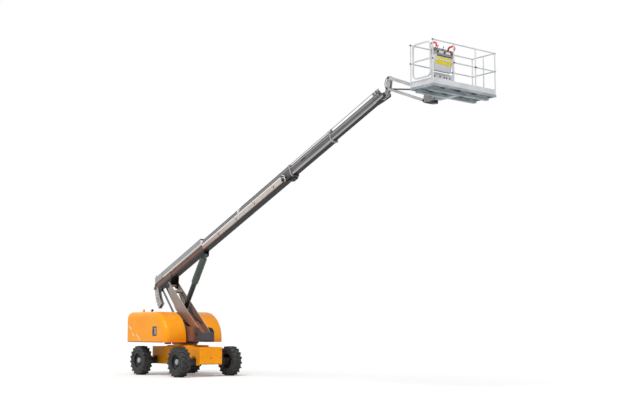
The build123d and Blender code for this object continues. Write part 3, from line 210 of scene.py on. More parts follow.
# The covers' lower front takes a deeper orange tint: painted shade where the shell curves under.
ORANGE = finish(
    "orange_gel_coat", (1.0, 0.37, 0.004), (0.97, 0.32, 0.003), (0.26, 0.36), scale=1.1, coat=0.12, shine=0.2,
    tints=(((0.98, 0.22, 0.002), (between(Z, -FAR, 1.26, 0.12), between(X, 0.1, FAR, 0.3))),))
CHASSIS = finish(
    "orange_chassis_paint", (1.0, 0.39, 0.005), (0.93, 0.32, 0.004), (0.34, 0.5), scale=1.6, shine=0.2)
BLACK = finish("black_frame_paint", (0.022, 0.022, 0.025), (0.013, 0.013, 0.015), (0.4, 0.6))
RUBBER = finish(
    "tyre_rubber", (0.036, 0.036, 0.037), (0.010, 0.010, 0.011), (0.45, 0.75), scale=9, bump=0.25)
RIM = finish(
    "rim_paint", (0.024, 0.024, 0.027), (0.012, 0.012, 0.014), (0.3, 0.5), scale=6,
    tints=tuple(
        ((0.33, 0.33, 0.34), (between(X, x - HUB_HALF, x + HUB_HALF, 0.001),
                              between(Z, WHEEL_Z - HUB_HALF, WHEEL_Z + HUB_HALF, 0.001),
                              between(s * Y, HUB_Y, FAR, 0.001)))
        for x in (-AXLE_X, AXLE_X) for s in (-1, 1)))
BALLAST = finish("ballast_casting", (0.07, 0.07, 0.072), (0.045, 0.045, 0.046), (0.65, 0.85), bump=0.4)
# Section 1's lower facet takes a dark brown painted reflection.
BOOM_1 = boom_finish("boom_grey_paint_1", 0.215, 0.058, 0.575, cover_reflection_end=4.0, edge=(0.085, 0.074, 0.07))
BOOM_2 = boom_finish("boom_grey_paint_2", 0.243, 0.047, 0.547, slot=(8.64, 8.88))
BOOM_3 = boom_finish("boom_grey_paint_3", 0.271, 0.037, 0.519)
ARM = finish(
    "arm_grey_paint", (0.30, 0.26, 0.225), (0.23, 0.19, 0.16), (0.35, 0.5), scale=1.4, coat=0.15,
    tints=(
        # Painted reflection of the orange covers on the arm's lower part.
        ((0.30, 0.125, 0.075), (between(Z, -FAR, 2.25, 0.3),)),
        *(((0.50, 0.48, 0.46), (between(s * Y, 0.18, FAR, 0.001), between(Y, -0.4, 0.4, 0.1, "Normal")))
          for s in (-1, 1)),
    ))
TURNTABLE = finish(
    "turntable_paint", (0.055, 0.048, 0.058), (0.035, 0.03, 0.038), (0.35, 0.55),
    tints=(((0.25, 0.095, 0.06), (between(X, 0.0, 1.0, 0.15), between(Z, 1.24, FAR, 0.01))),))
TIE = finish("tie_blue_grey_paint", (0.17, 0.18, 0.20), (0.12, 0.13, 0.15), (0.35, 0.55))
PALE = finish("pale_grey_paint", (0.50, 0.50, 0.51), (0.38, 0.38, 0.39), (0.35, 0.55), scale=2.4)
ZINC = finish(
    "zinc_plated_sheet", (0.62, 0.61, 0.61), (0.55, 0.55, 0.555), (0.3, 0.5), metallic=0.4, scale=14)
BARREL = finish("cylinder_green_grey", (0.060, 0.090, 0.070), (0.035, 0.055, 0.042), (0.3, 0.5), coat=0.2)
GLOSS_BLACK = finish("gloss_black_paint", (0.014, 0.014, 0.016), (0.008, 0.008, 0.009), (0.2, 0.35), coat=0.3)
CHROME = finish(
    "ground_chrome", (0.72, 0.73, 0.75), (0.62, 0.63, 0.65), (0.08, 0.18), metallic=1.0, grain=140)
print("finishes of the machine:", len(bpy.data.materials))

# %% [markdown]
# The platform, the hose tray and the small fittings follow.

# %% Finishes of platform, tray and fittings
ALLOY = finish(
    "platform_white_grey", (0.70, 0.71, 0.73), (0.60, 0.61, 0.63), (0.3, 0.5), metallic=0.1, scale=3)
DECK = finish("platform_deck_blue_grey", (0.38, 0.43, 0.46), (0.20, 0.235, 0.255), (0.4, 0.6), scale=2.2)
CONSOLE = finish(
    "console_grey", (0.70, 0.70, 0.71), (0.62, 0.62, 0.63), (0.4, 0.6), scale=6,
    tints=(
        ((0.33, 0.33, 0.34), (between(Z, 9.085, FAR, 0.004),)),
        ((0.13, 0.13, 0.125), (between(Z, 9.19, FAR, 0.01),)),
        ((0.30, 0.28, 0.09), (between(Z, 9.285, FAR, 0.006),)),
    ))
POST = finish(
    "jib_post_grey", (0.26, 0.26, 0.27), (0.19, 0.19, 0.20), (0.3, 0.5),
    tints=(((0.016, 0.016, 0.018), (between(Z, -FAR, 7.93, 0.004),)),))
TRAY = finish(
    "tray_sheet", (0.62, 0.545, 0.49), (0.53, 0.46, 0.41), (0.3, 0.5), metallic=0.2, scale=5,
    tints=(
        # Painted reflection of the orange covers on the tray near the heel.
        ((0.36, 0.175, 0.11), (along_boom(-FAR, 3.3, 1.7),)),
        ((0.74, 0.73, 0.72), (above_pivot(0.345, FAR, 0.002),)),
        ((0.08, 0.075, 0.075), (above_pivot(0.337, 0.346, 0.002),)),
        ((0.085, 0.083, 0.085), (above_pivot(0.418, FAR, 0.002),)),
    ))
DUCT = finish(
    "duct_grey_paint", (0.36, 0.355, 0.37), (0.29, 0.285, 0.30), (0.35, 0.55), scale=2.4,
    tints=(((0.72, 0.71, 0.70), (above_pivot(-FAR, 0.475, 0.002), along_boom(-0.2, FAR, 0.05))),))
YELLOW = finish("plain_yellow_plate", (1.0, 0.84, 0.015), (0.95, 0.76, 0.012), (0.4, 0.55), scale=5)
RED = finish("red_guard_paint", (0.80, 0.012, 0.02), (0.62, 0.008, 0.012), (0.25, 0.4), scale=8, coat=0.4)
LENS = finish("amber_lens", (0.95, 0.42, 0.02), (0.85, 0.33, 0.01), (0.12, 0.22), scale=14, coat=0.6)
PANEL = finish("pale_panel", (0.86, 0.86, 0.87), (0.78, 0.78, 0.79), (0.35, 0.5), scale=4)
WHITE = finish("white_plate", (0.80, 0.80, 0.80), (0.70, 0.70, 0.70), (0.35, 0.5), scale=5)
HOSE = finish("hose_rubber", (0.022, 0.022, 0.023), (0.013, 0.013, 0.014), (0.5, 0.7), scale=30)

# %% [markdown]
# Each CAD node takes one finish. Painting by the node's name keeps the list short: the longest entry that
# begins a node's name picks its finish, so all tyres or all rails share one line.

# %% Paint the CAD nodes
NODE_FINISHES = {
    "chassis": CHASSIS, "front_axle": BLACK, "rear_axle": BLACK, "knuckle": BLACK, "tyre": RUBBER, "rim": RIM,
    "slew": BLACK, "turntable": TURNTABLE, "counterweight": BALLAST, "engine": BALLAST, "fluid": BALLAST,
    "cover": ORANGE, "beacon": LENS, "horn": GLOSS_BLACK, "arm": ARM, "tie": TIE,
    "boom_section_1": BOOM_1, "boom_section_2": BOOM_2, "boom_section_3": BOOM_3,
    "hose_guide": PALE, "hose_duct": DUCT, "cable": TRAY,
    "lift_barrel": BARREL, "lift_stage": GLOSS_BLACK, "lift_rod": CHROME,
    "level": PALE, "jib_lower": PALE, "jib_upper": PALE, "jib_barrel": GLOSS_BLACK, "jib_rod": CHROME,
    "jib_post": POST, "platform": DECK, "rail": ALLOY, "gate": ALLOY, "control": CONSOLE,
    "console_guards": RED,
}
for node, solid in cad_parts.items():
    start = max((word for word in NODE_FINISHES if node.startswith(word)), key=len)
    solid.data.materials.clear()
    solid.data.materials.append(NODE_FINISHES[start])
print("painted:", len(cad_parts), "nodes")

# %% [markdown]
# All added pieces are grids of points. A grid has rows along a path and columns round a profile, and its
# quads come from the same index pattern shifted by one row and one column. Writing that once as arrays
# lets every later piece be a formula, with no loop over its points.

# %% Grids to pieces
SMOOTH_ANGLE = radians(35)
MERGE_DISTANCE = 1e-6


def grid_quads(rows, columns):
    """Corner numbers of each quad: a point, its right neighbour, and the same two in the next row."""
    row, column = np.meshgrid(np.arange(rows - 1), np.arange(columns), indexing="ij")
    right = (column + 1) % columns
    quads = np.stack([row * columns + column, row * columns + right,
                      (row + 1) * columns + right, (row + 1) * columns + column], axis=-1)
    return quads.reshape(-1, 4)


def close_and_turn(mesh):
    """Joins points that coincide and turns faces outwards, because a mirrored grid comes out inside out."""
    work = bmesh.new()
    work.from_mesh(mesh)
    bmesh.ops.remove_doubles(work, verts=work.verts, dist=MERGE_DISTANCE)
    bmesh.ops.recalc_face_normals(work, faces=work.faces)
    work.to_mesh(mesh)
    work.free()


def grids_to_piece(name, grids, body, material, caps=True):
    """Joins grids of shape (rows, columns, 3) in one mesh, with flat caps on open tubes, riding on a body."""
    points, faces, start = [], [], 0
    for grid in grids:
        rows, columns = grid.shape[:2]
        faces += (grid_quads(rows, columns) + start).tolist()
        if caps:
            first = np.arange(columns) + start
            faces += [first[::-1].tolist(), (first + (rows - 1) * columns).tolist()]
        points.append(grid.reshape(-1, 3))
        start += rows * columns
    mesh = bpy.data.meshes.new(name)
    mesh.from_pydata(np.concatenate(points).tolist(), [], faces)
    mesh.update()
    close_and_turn(mesh)
    mesh.materials.append(material)
    mesh.shade_smooth()
    mesh.set_sharp_from_angle(angle=SMOOTH_ANGLE)
    piece = bpy.data.objects.new(name, mesh)
    bpy.context.collection.objects.link(piece)
    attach(piece, body)


print("quads of a grid of 3 rows and 4 columns:", len(grid_quads(3, 4)))

# %% [markdown]
# Bars and plates start from one outline, a rectangle with rounded corners. A bar carries it along its
# length. A pillow is a plate whose outline shrinks in rings, and the inner rings stand further out.

# %% Bars and plates
def rounded_box(size, radius, steps=4):
    """Outline of a rectangle whose corners are quarter circles: corner centre plus radius times (cos, sin)."""
    half = np.array(size) / 2 - radius
    turn = np.linspace(0, pi / 2, steps)
    quarter = np.arange(4)[:, None] * pi / 2 + turn
    centre = np.array([[1, 1], [-1, 1], [-1, -1], [1, -1]])[:, None, :] * half
    return (centre + radius * np.stack([np.cos(quarter), np.sin(quarter)], axis=-1)).reshape(-1, 2)


def block(centre, along, side, up, length, size, radius, bevel=0.004):
    """A bar with rounded corners: its outline shrinks by the bevel at both ends."""
    profile = rounded_box(size, radius)
    shrink = 1 - 2 * bevel / min(size)
    ends = np.array([-length / 2, bevel - length / 2, length / 2 - bevel, length / 2])
    scale = np.array([shrink, 1, 1, shrink])
    path = np.asarray(centre, float) + ends[:, None] * along
    shape = profile[None] * scale[:, None, None]
    return path[:, None, :] + shape[..., :1] * side + shape[..., 1:] * up


def pillow(centre, across, up, out, size, rise, radius):
    """A plate on a grid of shrinking rounded outlines: each inner ring stands a little further out."""
    shrink = np.array([1.0, 1.0, 0.985, 0.9, 0.5, 0.02])
    lift = np.array([-0.004, rise * 0.6, rise, rise, rise, rise])
    outline = rounded_box(size, radius, 5)
    flat = outline[None] * shrink[:, None, None]
    return (np.asarray(centre, float) + flat[..., :1] * across + flat[..., 1:] * up
            + lift[:, None, None] * out)


print("a bar of", block([0, 0, 0], X, Y, Z, 1, (0.1, 0.1), 0.01).shape, "points")

# %% [markdown]
# Round fittings are turned: a section of radius and height goes round an axis. Bolt heads and rings return
# often, so two functions give their sections. A bolt head ends at a tiny tip, where a flat cap closes it,
# and a ring's section comes back to its start.

# %% Turned shapes
TIP = 0.0005


def full_turn(sides):
    """Equal steps of angle round a circle, without the last one, which would repeat the first."""
    return np.linspace(0, 2 * pi, sides, endpoint=False)


def lathe(section, centre, axis, side, up, sides=32):
    """Turns (radius, height) pairs about an axis: centre + height axis + radius (cos t side + sin t up)."""
    section = np.asarray(section, float)
    turn = full_turn(sides)[:, None]
    ring = np.cos(turn) * side + np.sin(turn) * up
    return np.asarray(centre, float) + section[:, None, 1:] * axis + section[:, None, :1] * ring[None]


def button(radius, sunk, shoulder, crown_radius, crown, dome=0.0005):
    """Section of a bolt head: a straight wall, a chamfer to the crown, and a top that closes at a tiny tip."""
    return [(radius, -sunk), (radius, shoulder), (crown_radius, crown), (TIP, crown + dome)]


def sleeve(inner, outer, half):
    """Section of a short closed ring: two radii, and half its length to each side."""
    return [(inner, -half), (outer, -half), (outer, half), (inner, half), (inner, -half)]


print("a bolt head of", lathe(button(0.01, 0.002, 0.008, 0.007, 0.01), [0, 0, 0], Z, X, Y, 6).shape, "points")

# %% [markdown]
# A tube is a ring carried along a path, and a hose is a tube along a smooth curve. The ring needs two
# directions across the curve: the cross product of the tangent with a direction that no hose here follows
# gives the first, and a second cross product gives the other.

# %% Tubes and hoses
NO_TANGENT = np.array([0.13, 0.98, 0.07])


def tube(path, across, other, radius, sides):
    """Rings along a path: place + radius (cos t across + sin t other), with two directions at each place."""
    turn = full_turn(sides)[None, :, None]
    return path[:, None] + radius * (np.cos(turn) * across[:, None] + np.sin(turn) * other[:, None])


def hose(points, radius, sides=10, steps=48):
    """A tube along a smooth curve: Bernstein weights blend the points, and rings lie across the tangent."""
    points = np.asarray(points, float)
    order = len(points) - 1
    t = np.linspace(0, 1, steps)[:, None]
    k = np.arange(order + 1)
    choose = np.cumprod(np.concatenate([[1.0], (order - k[:-1]) / (k[:-1] + 1)]))
    path = (choose * t**k * (1 - t) ** (order - k)) @ points
    tangent = np.gradient(path, axis=0)
    tangent /= np.linalg.norm(tangent, axis=1, keepdims=True)
    across = np.cross(tangent, NO_TANGENT)
    across /= np.linalg.norm(across, axis=1, keepdims=True)
    return tube(path, across, np.cross(tangent, across), radius, sides)


print("a hose of", hose([[0, 0, 0], [0, 0, 1], [1, 0, 1]], 0.01).shape, "points")

# %% [markdown]
# A field tyre carries moulded rings on its sidewall, and the drive hub behind the rim is closed by a
# bolted cover. Both are turned shapes, so one profile of radius and height goes round the axle. The
# rings could be a bump in the material, but they catch light at the edge, so they are real.

# %% Tyre rings and hub covers
CORNERS = {"front_left": 1, "front_right": -1, "rear_left": 1, "rear_right": -1}
RINGS = ((0.372, 0.0005), (0.398, 0.002), (0.345, -0.007))  # radius, height over the sidewall
RING_FOOT, RING_CREST, RING_ROOT = 0.008, 0.004, 0.012
HUB_FACE, BOLT_CIRCLE, HUB_BOLTS = 0.1155, 0.056, 8
for corner, side in CORNERS.items():
    low, high = (np.array(c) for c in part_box(f"tyre_{corner}"))
    middle = (low + high) / 2
    outer = side * Y
    wall = (high[1] - low[1]) / 2
    root = wall - RING_ROOT
    rings = [lathe([(r - RING_FOOT, root), (r - RING_CREST, wall + h), (r + RING_CREST, wall + h),
                    (r + RING_FOOT, root), (r - RING_FOOT, root)], middle, outer, X, Z, 64) for r, h in RINGS]
    grids_to_piece(f"sidewall_rings_{corner}", rings, f"wheel_{corner}", RUBBER, caps=False)
    face = middle + HUB_FACE * outer
    bolts = [lathe(button(0.0095, 0.004, 0.007, 0.006, 0.010),
                   face + BOLT_CIRCLE * (cos(a) * X + sin(a) * Z), outer, X, Z, 6) for a in full_turn(HUB_BOLTS)]
    cap = lathe(button(0.042, 0.002, 0.008, 0.036, 0.013, 0.001), face, outer, X, Z)
    grids_to_piece(f"hub_cover_{corner}", [cap, *bolts], f"wheel_{corner}", PALE)
print("wheels dressed:", len(CORNERS))

# %% [markdown]
# The engine covers are moulded shells. Each has a black vent panel with pale slats and a black latch in
# it, plain white stripes, and a rubber lip along its lower edge. The panels are shallow pillows: a flat
# grid whose rim drops away, which reads as a separate moulding in any light.

# %% Cover fittings
cover_low, cover_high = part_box("cover_right")
SIDE_Y = -cover_low[1]
VENT_X, VENT_Z, VENT_SINK, VENT_SIZE = -0.11, 1.57, 0.004, (0.286, 0.336)
SLATS, SLAT_STEP = 5, 0.048
STRIPE_ALONG, STRIPE_UP = np.array([0.804, 0, -0.595]), np.array([0.595, 0, 0.804])
STRIPES = ((-1.86, 1.69, 0.26), (-1.27, 1.36, 0.34), (-1.62, 1.44, 0.16))  # x, z, length
STRIPE_WIDTH = 0.034
LIP_MIDDLE_X, LIP_Z = (cover_low[0] + cover_high[0]) / 2, cover_low[2] + 0.006
LIP_LENGTH = cover_high[0] - cover_low[0] - 0.42
for side, body in ((-1, "cover_right_body"), (1, "cover_left_body")):
    out = side * Y
    name = body[6:-5]
    vent_floor = np.array([VENT_X, side * (SIDE_Y - VENT_SINK), VENT_Z])
    window = pillow(vent_floor, X, Z, out, VENT_SIZE, 0.007, 0.022)
    grids_to_piece(f"vent_window_{name}", [window], body, GLOSS_BLACK)
    slat_middle = vent_floor + 0.055 * X + 0.009 * out
    slats = [block(slat_middle + SLAT_STEP * (i - SLATS // 2) * Z, X, Z, out, 0.12, (0.03, 0.012), 0.005)
             for i in range(SLATS)]
    grids_to_piece(f"vent_slats_{name}", slats, body, PALE)
    latch = pillow(vent_floor + 0.006 * out - 0.075 * X, X, Z, out, (0.05, 0.12), 0.008, 0.012)
    grids_to_piece(f"vent_latch_{name}", [latch], body, BLACK)
    stripes = [pillow([x, side * (SIDE_Y + 0.0005), z], STRIPE_ALONG, STRIPE_UP, out,
                      (length, STRIPE_WIDTH), 0.0015, 0.012) for x, z, length in STRIPES]
    grids_to_piece(f"cover_stripes_{name}", stripes, body, WHITE)
    lip = block([LIP_MIDDLE_X, side * (SIDE_Y - 0.003), LIP_Z], X, Y, Z, LIP_LENGTH, (0.018, 0.022), 0.006)
    grids_to_piece(f"cover_lip_{name}", [lip], body, HOSE)
print("cover side at", round(SIDE_Y, 3), "m")

# %% [markdown]
# Hoses run from the swinging guide through a duct and then a sheet-metal tray whose covers meet at joints,
# held by brackets. Each joint, bolt and bracket is one shape carried to its station on the boom.

# %% Tray joints, brackets and hooks
TRAY_STATIONS = np.arange(3.7, 7.6, 1.15)
TRAY_SIDE, JOINT_HEIGHT, BOLT_HEIGHT = -0.206, 0.288, 0.38
BRACKET_STATIONS, BRACKET_OUT, BRACKET_HEIGHT = (2.6, 5.035), -0.178, 0.49
FITTING_START, FITTING_STEP, FITTINGS = 7.66, 0.05, 4
joints = [block(on_boom(s, TRAY_SIDE, JOINT_HEIGHT), ALONG, Y, ABOVE, 0.05, (0.008, 0.09), 0.002, 0.001)
          for s in TRAY_STATIONS]
grids_to_piece("tray_joints", joints, "boom", TIE)
tray_bolts = [lathe(button(0.014, 0.003, 0.005, 0.009, 0.008), on_boom(s - 0.1, TRAY_SIDE + 0.001, BOLT_HEIGHT),
                    -Y, ALONG, ABOVE, 12) for s in TRAY_STATIONS]
grids_to_piece("tray_bolts", tray_bolts, "boom", TIE)
brackets = [block(on_boom(s, BRACKET_OUT, BRACKET_HEIGHT), ALONG, Y, ABOVE, 0.06, (0.076, 0.18), 0.008)
            for s in BRACKET_STATIONS]
grids_to_piece("tray_brackets", brackets, "boom", WHITE)
hooks = [hose([on_boom(7.55, -0.17, h), on_boom(7.75, -0.2, h + 0.02), on_boom(7.85, -0.2, h - 0.12),
               on_boom(7.7, -0.16, h - 0.15)], 0.012) for h in (0.44, 0.36)]
grids_to_piece("tray_hooks", hooks, "boom", WHITE)
fittings = [block(on_boom(FITTING_START + FITTING_STEP * i, -0.165, 0.33), ALONG, Y, ABOVE, 0.04,
                  (0.04, 0.08), 0.01) for i in range(FITTINGS)]
grids_to_piece("hose_fittings", fittings, "boom", GLOSS_BLACK)
print("tray joints:", len(TRAY_STATIONS))

# %% [markdown]
# Collar bands and bolts show where one boom section slides in the next. Nothing may stand on the sides that
# slide in, so the bolts sit on the collars and at the tip. The pad bolts are short six-sided studs, and the
# bands follow the boom's own outline: a small cross-section is carried round that outline.

# %% Collar bands, pad bolts and tip plates
AXIS_ABOVE = 0.395
COLLAR_WALL, BAND_THICK, BAND_BACK, BAND_LIP = 0.016, 0.005, 0.03, 0.002


def collar_band(end, half_width, half_height):
    """A ring round the boom's outline: the outline and its slightly larger copy at two stations, joined."""
    cut = half_width * 2 / 5
    half, rise = half_width + COLLAR_WALL, half_height + COLLAR_WALL
    outline = np.array([(-half, rise), (half, rise), (half, cut - rise), (half - cut / 2, -rise),
                        (cut / 2 - half, -rise), (-half, cut - rise)])
    grown, inner = outline * (1 + BAND_THICK / half), outline * 0.97
    rows = ((outline, end - BAND_BACK), (grown, end - BAND_BACK), (grown, end + BAND_LIP),
            (inner, end + BAND_LIP), (inner, end - 0.001), (outline, end - BAND_BACK))
    return np.stack([on_boom(s, 0, AXIS_ABOVE) + shape[:, :1] * Y + shape[:, 1:] * ABOVE for shape, s in rows])


SECTIONS = (
    # name, body, station of the bolts, half width at the bolts, collar end, half width, half height
    ("section_1", "boom", 8.06, 0.161, 8.09, 0.145, 0.18),
    ("section_2", "boom_2", 10.21, 0.134, 10.24, 0.118, 0.152),
    ("section_3", "boom_3", 12.42, 0.092, None, 0.092, 0.124),
)
for name, body, station, bolt_face, collar, half_width, half_height in SECTIONS:
    studs = [lathe(button(0.011, 0.002, 0.009, 0.007, 0.011),
                   on_boom(station, y * bolt_face, AXIS_ABOVE + h), y * Y, ALONG, ABOVE, 6)
             for y in (-1, 1) for h in (-0.04, 0.02, 0.08)]
    grids_to_piece(f"pad_bolts_{name}", studs, body, ZINC)
    if collar:
        band = collar_band(collar, half_width, half_height)
        grids_to_piece(f"collar_band_{name}", [band], body, PALE, caps=False)
tip_plates = [block(on_boom(12.46, y, 0.57), ALONG, Y, ABOVE, 0.24, (0.014, 0.14), 0.005)
              for y in (-0.055, 0.055)]
grids_to_piece("tip_plates", tip_plates, "boom_3", PALE)
tip_bars = [block(on_boom(s, 0, 0.6), Y, ALONG, ABOVE, 0.15, (0.05, 0.07), 0.01) for s in (12.38, 12.52)]
grids_to_piece("tip_bars", tip_bars, "boom_3", GLOSS_BLACK)
print("sections:", len(SECTIONS))

# %% [markdown]
# Behind the boom's heel a curved chain of links carries the hoses round the pivot. The CAD solid is its
# body, and the links here are side plates and bars set round the same centre, one every few degrees, so
# the rear edge gets its row of bumps.

# %% Hose chain links
LINK_ANGLES = np.radians(np.arange(163, 222, 6.5))
BAR_RADIUS, PLATE_RADIUS, PLATE_Y = 1.19, 1.06, 0.063
links = []
for angle in LINK_ANGLES:
    out = cos(angle) * X + sin(angle) * Z
    round_way = -sin(angle) * X + cos(angle) * Z
    links.append(block(PIVOT + BAR_RADIUS * out, Y, round_way, out, 0.13, (0.09, 0.03), 0.012))
    links.extend(block(PIVOT + PLATE_RADIUS * out + y * Y, out, round_way, Y, 0.25, (0.07, 0.012), 0.004)
                 for y in (-PLATE_Y, PLATE_Y))
grids_to_piece("chain_links", links, "boom", PALE)
chain_hoses = [hose([on_boom(-0.79, y, 0.47), on_boom(-0.95, y, 0.42), on_boom(-1.06, y, 0.3)], 0.016)
               for y in (-0.05, -0.1, -0.15)]
grids_to_piece("chain_hoses", chain_hoses, "boom", HOSE)
print("links:", len(LINK_ANGLES))

# %% [markdown]
# The lift cylinder wears thick guard tubes: one on its barrel, one on its middle stage and one on its rod.
# They slide into each other with the cylinder, so each is a hollow turned shape with a thin ring that holds
# it, and the rings never meet. A steel pipe held by bands runs along the barrel's guard. All of it is set
# out along the cylinder's axis, from the upper pin down to the arm.

# %% Lift cylinder guards, bands and pipe
UPPER_PIN, LOWER_PIN = np.array([1.213, 0, 4.253]), np.array([-0.143, 0, 2.261])
DOWN = (LOWER_PIN - UPPER_PIN) / np.linalg.norm(LOWER_PIN - UPPER_PIN)
ACROSS = np.cross(Y, DOWN)
GUARDS = (
    # name, body, finish, section as radius and distance below the upper pin
    ("barrel_guard", "lift_barrel_body", BARREL,
     [(0.0815, 0.13), (0.116, 0.13), (0.125, 0.14), (0.125, 1.15), (0.112, 1.15), (0.112, 0.145),
      (0.0815, 0.145)]),
    ("stage_guard", "lift_stage_body", GLOSS_BLACK,
     [(0.0895, 0.56), (0.094, 0.56), (0.094, 1.948), (0.092, 1.95), (0.0895, 1.95), (0.0895, 1.485),
      (0.0615, 1.485), (0.0615, 1.46), (0.0895, 1.46)]),
    ("rod_guard", "lift_rod_body", GLOSS_BLACK,
     [(0.066, 1.935), (0.0865, 1.935), (0.0865, 2.28), (0.082, 2.29), (0.0435, 2.29), (0.0435, 2.27),
      (0.066, 2.27)]),
)
for name, body, material, section in GUARDS:
    guard = lathe(section + section[:1], UPPER_PIN, DOWN, Y, ACROSS, 40)
    grids_to_piece(name, [guard], body, material, caps=False)
bands = [lathe(sleeve(0.1245, 0.13, 0.014), UPPER_PIN + d * DOWN, DOWN, Y, ACROSS) for d in (0.5, 0.95)]
grids_to_piece("barrel_bands", bands, "lift_barrel_body", BARREL, caps=False)
PIPE = ((0.36, 0.12), (0.38, 0.175), (0.42, 0.134), (1.0, 0.134), (1.05, 0.175), (1.08, 0.12))  # down, out
pipe = hose([UPPER_PIN + d * DOWN + off * ACROSS for d, off in PIPE], 0.010)
grids_to_piece("barrel_pipe", [pipe], "lift_barrel_body", ZINC)
print("barrel direction:", np.round(DOWN, 3))

# %% [markdown]
# Pins in a lifting linkage are kept by a round keeper plate and two bolts at each end. One section makes
# the plate for any pivot, and a table lists where they sit and which body carries them.

# %% Pin keepers
PIVOTS = (
    # name, body, x, z, face, radius
    ("arm_foot", "turntable", 1.165, 1.49, 0.285, 0.075),
    ("tie_foot", "turntable", 0.114, 1.414, 0.285, 0.07),
    ("boom_heel", "arm", -0.93, 3.23, 0.21, 0.085),
    ("tie_top", "boom", -1.475, 3.10, 0.173, 0.07),
    ("tip", "boom_3", 10.8, 8.42, 0.112, 0.05),
    ("jib_low", "level_head_body", 10.9, 8.58, 0.099, 0.036),
    ("jib_high", "level_head_body", 10.96, 8.89, 0.099, 0.036),
    ("post_low", "jib_post_body", 12.4, 7.98, 0.099, 0.036),
    ("post_high", "jib_post_body", 12.46, 8.29, 0.099, 0.036),
)
KEY = [(0.009, 0.01), (0.009, 0.019), (TIP, 0.0195)]
for name, body, x, z, face, radius in PIVOTS:
    keepers = [lathe(button(radius, 0.003, 0.006, radius - 0.008, 0.012, 0.001), [x, y * face, z], y * Y, X, Z)
               for y in (-1, 1)]
    keys = [lathe(KEY, [x + d * radius, y * face, z], y * Y, X, Z, 6) for y in (-1, 1) for d in (-0.5, 0.5)]
    grids_to_piece(f"pin_keeper_{name}", keepers + keys, body, BLACK)
print("pivots:", len(PIVOTS))

# %% [markdown]
# The operator's console is a sheet-metal box with plates on its sloping face: two plain yellow plates, a
# black edge and a pale plate below. Each plate is a pillow laid on the slope, so it keeps its own edge and
# shadow.

# %% Console plates
console_low, console_high = (np.array(c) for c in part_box("control_console"))
CONSOLE_MIDDLE = (console_low[1] + console_high[1]) / 2
SLOPE_FOOT = np.array([console_low[0] + 0.06, CONSOLE_MIDDLE, console_low[2]])
SLOPE_TOP = np.array([console_high[0], CONSOLE_MIDDLE, console_high[2] - 0.21])
face_up = (SLOPE_TOP - SLOPE_FOOT) / np.linalg.norm(SLOPE_TOP - SLOPE_FOOT)
face_out = np.cross(Y, face_up)
PLATES = (
    # name, finish, height up the slope, height of the plate
    ("yellow_high", YELLOW, 0.35, 0.07), ("yellow_low", YELLOW, 0.24, 0.1),
    ("black_edge", GLOSS_BLACK, 0.42, 0.03), ("grey_low", PANEL, 0.1, 0.16),
)
PLATE_WIDTH = 0.6
for name, material, height, size in PLATES:
    plate = pillow(SLOPE_FOOT + height * face_up, Y, face_up, face_out, (PLATE_WIDTH, size), 0.004, 0.008)
    grids_to_piece(f"console_{name}", [plate], "platform", material)
print("console slope:", np.round(face_up, 3))

# %% [markdown]
# The console's top slopes back and carries a dark panel with levers, switches and a stop button, all turned
# shapes. The band between the top and the sloping face has two white boxes and three knobs.

# %% Console levers and switches
top_up = np.array([console_low[0] - console_high[0], 0, 0.13])
top_up /= np.linalg.norm(top_up)
top_out = np.cross(Y, top_up)
PANEL_MIDDLE = np.array([(console_low[0] + console_high[0]) / 2, CONSOLE_MIDDLE, console_high[2] - 0.065])
switch_panel = pillow(PANEL_MIDDLE, Y, top_up, top_out, (0.62, 0.2), 0.004, 0.01)
grids_to_piece("switch_panel", [switch_panel], "platform", GLOSS_BLACK)
LEVER = [(0.022, 0), (0.016, 0.012), (0.007, 0.02), (0.007, 0.07), (0.015, 0.08), (0.013, 0.1), (TIP, 0.106)]
SWITCH = [(0.009, 0), (0.009, 0.006), (0.004, 0.008), (0.004, 0.022), (TIP, 0.023)]
STOP = [(0.02, 0), (0.02, 0.01), (0.03, 0.016), (0.03, 0.026), (0.022, 0.034), (TIP, 0.036)]
levers = [lathe(LEVER, PANEL_MIDDLE + y * Y, top_out, Y, top_up, 16) for y in (-0.22, 0.0, 0.22)]
switches = [lathe(SWITCH, PANEL_MIDDLE + y * Y + h * top_up, top_out, Y, top_up, 10)
            for y in np.linspace(-0.15, 0.15, 5) for h in (-0.06, 0.06)]
grids_to_piece("console_levers", levers + switches, "platform", BLACK)
stop = lathe(STOP, PANEL_MIDDLE + 0.27 * Y - 0.05 * top_up, top_out, Y, top_up)
grids_to_piece("stop_button", [stop], "platform", RED)
BAND_MIDDLE = np.array([console_high[0], CONSOLE_MIDDLE, console_high[2] - 0.17])
boxes = [pillow(BAND_MIDDLE + y * Y, Y, Z, X, (0.17, 0.066), 0.008, 0.008) for y in (-0.15, 0.11)]
grids_to_piece("switch_boxes", boxes, "platform", WHITE)
knobs = [lathe(button(0.03, 0.002, 0.012, 0.022, 0.02, 0.001), BAND_MIDDLE + y * Y, X, Y, Z, 20)
         for y in (-0.28, -0.02, 0.26)]
grids_to_piece("switch_knobs", knobs, "platform", BLACK)
print("levers and switches:", len(levers) + len(switches))

# %% [markdown]
# Rail tubes end in black plugs, and posts meet the rails in clamps. Both are turned about the rail's axis,
# so they sit on the tube whatever its place.

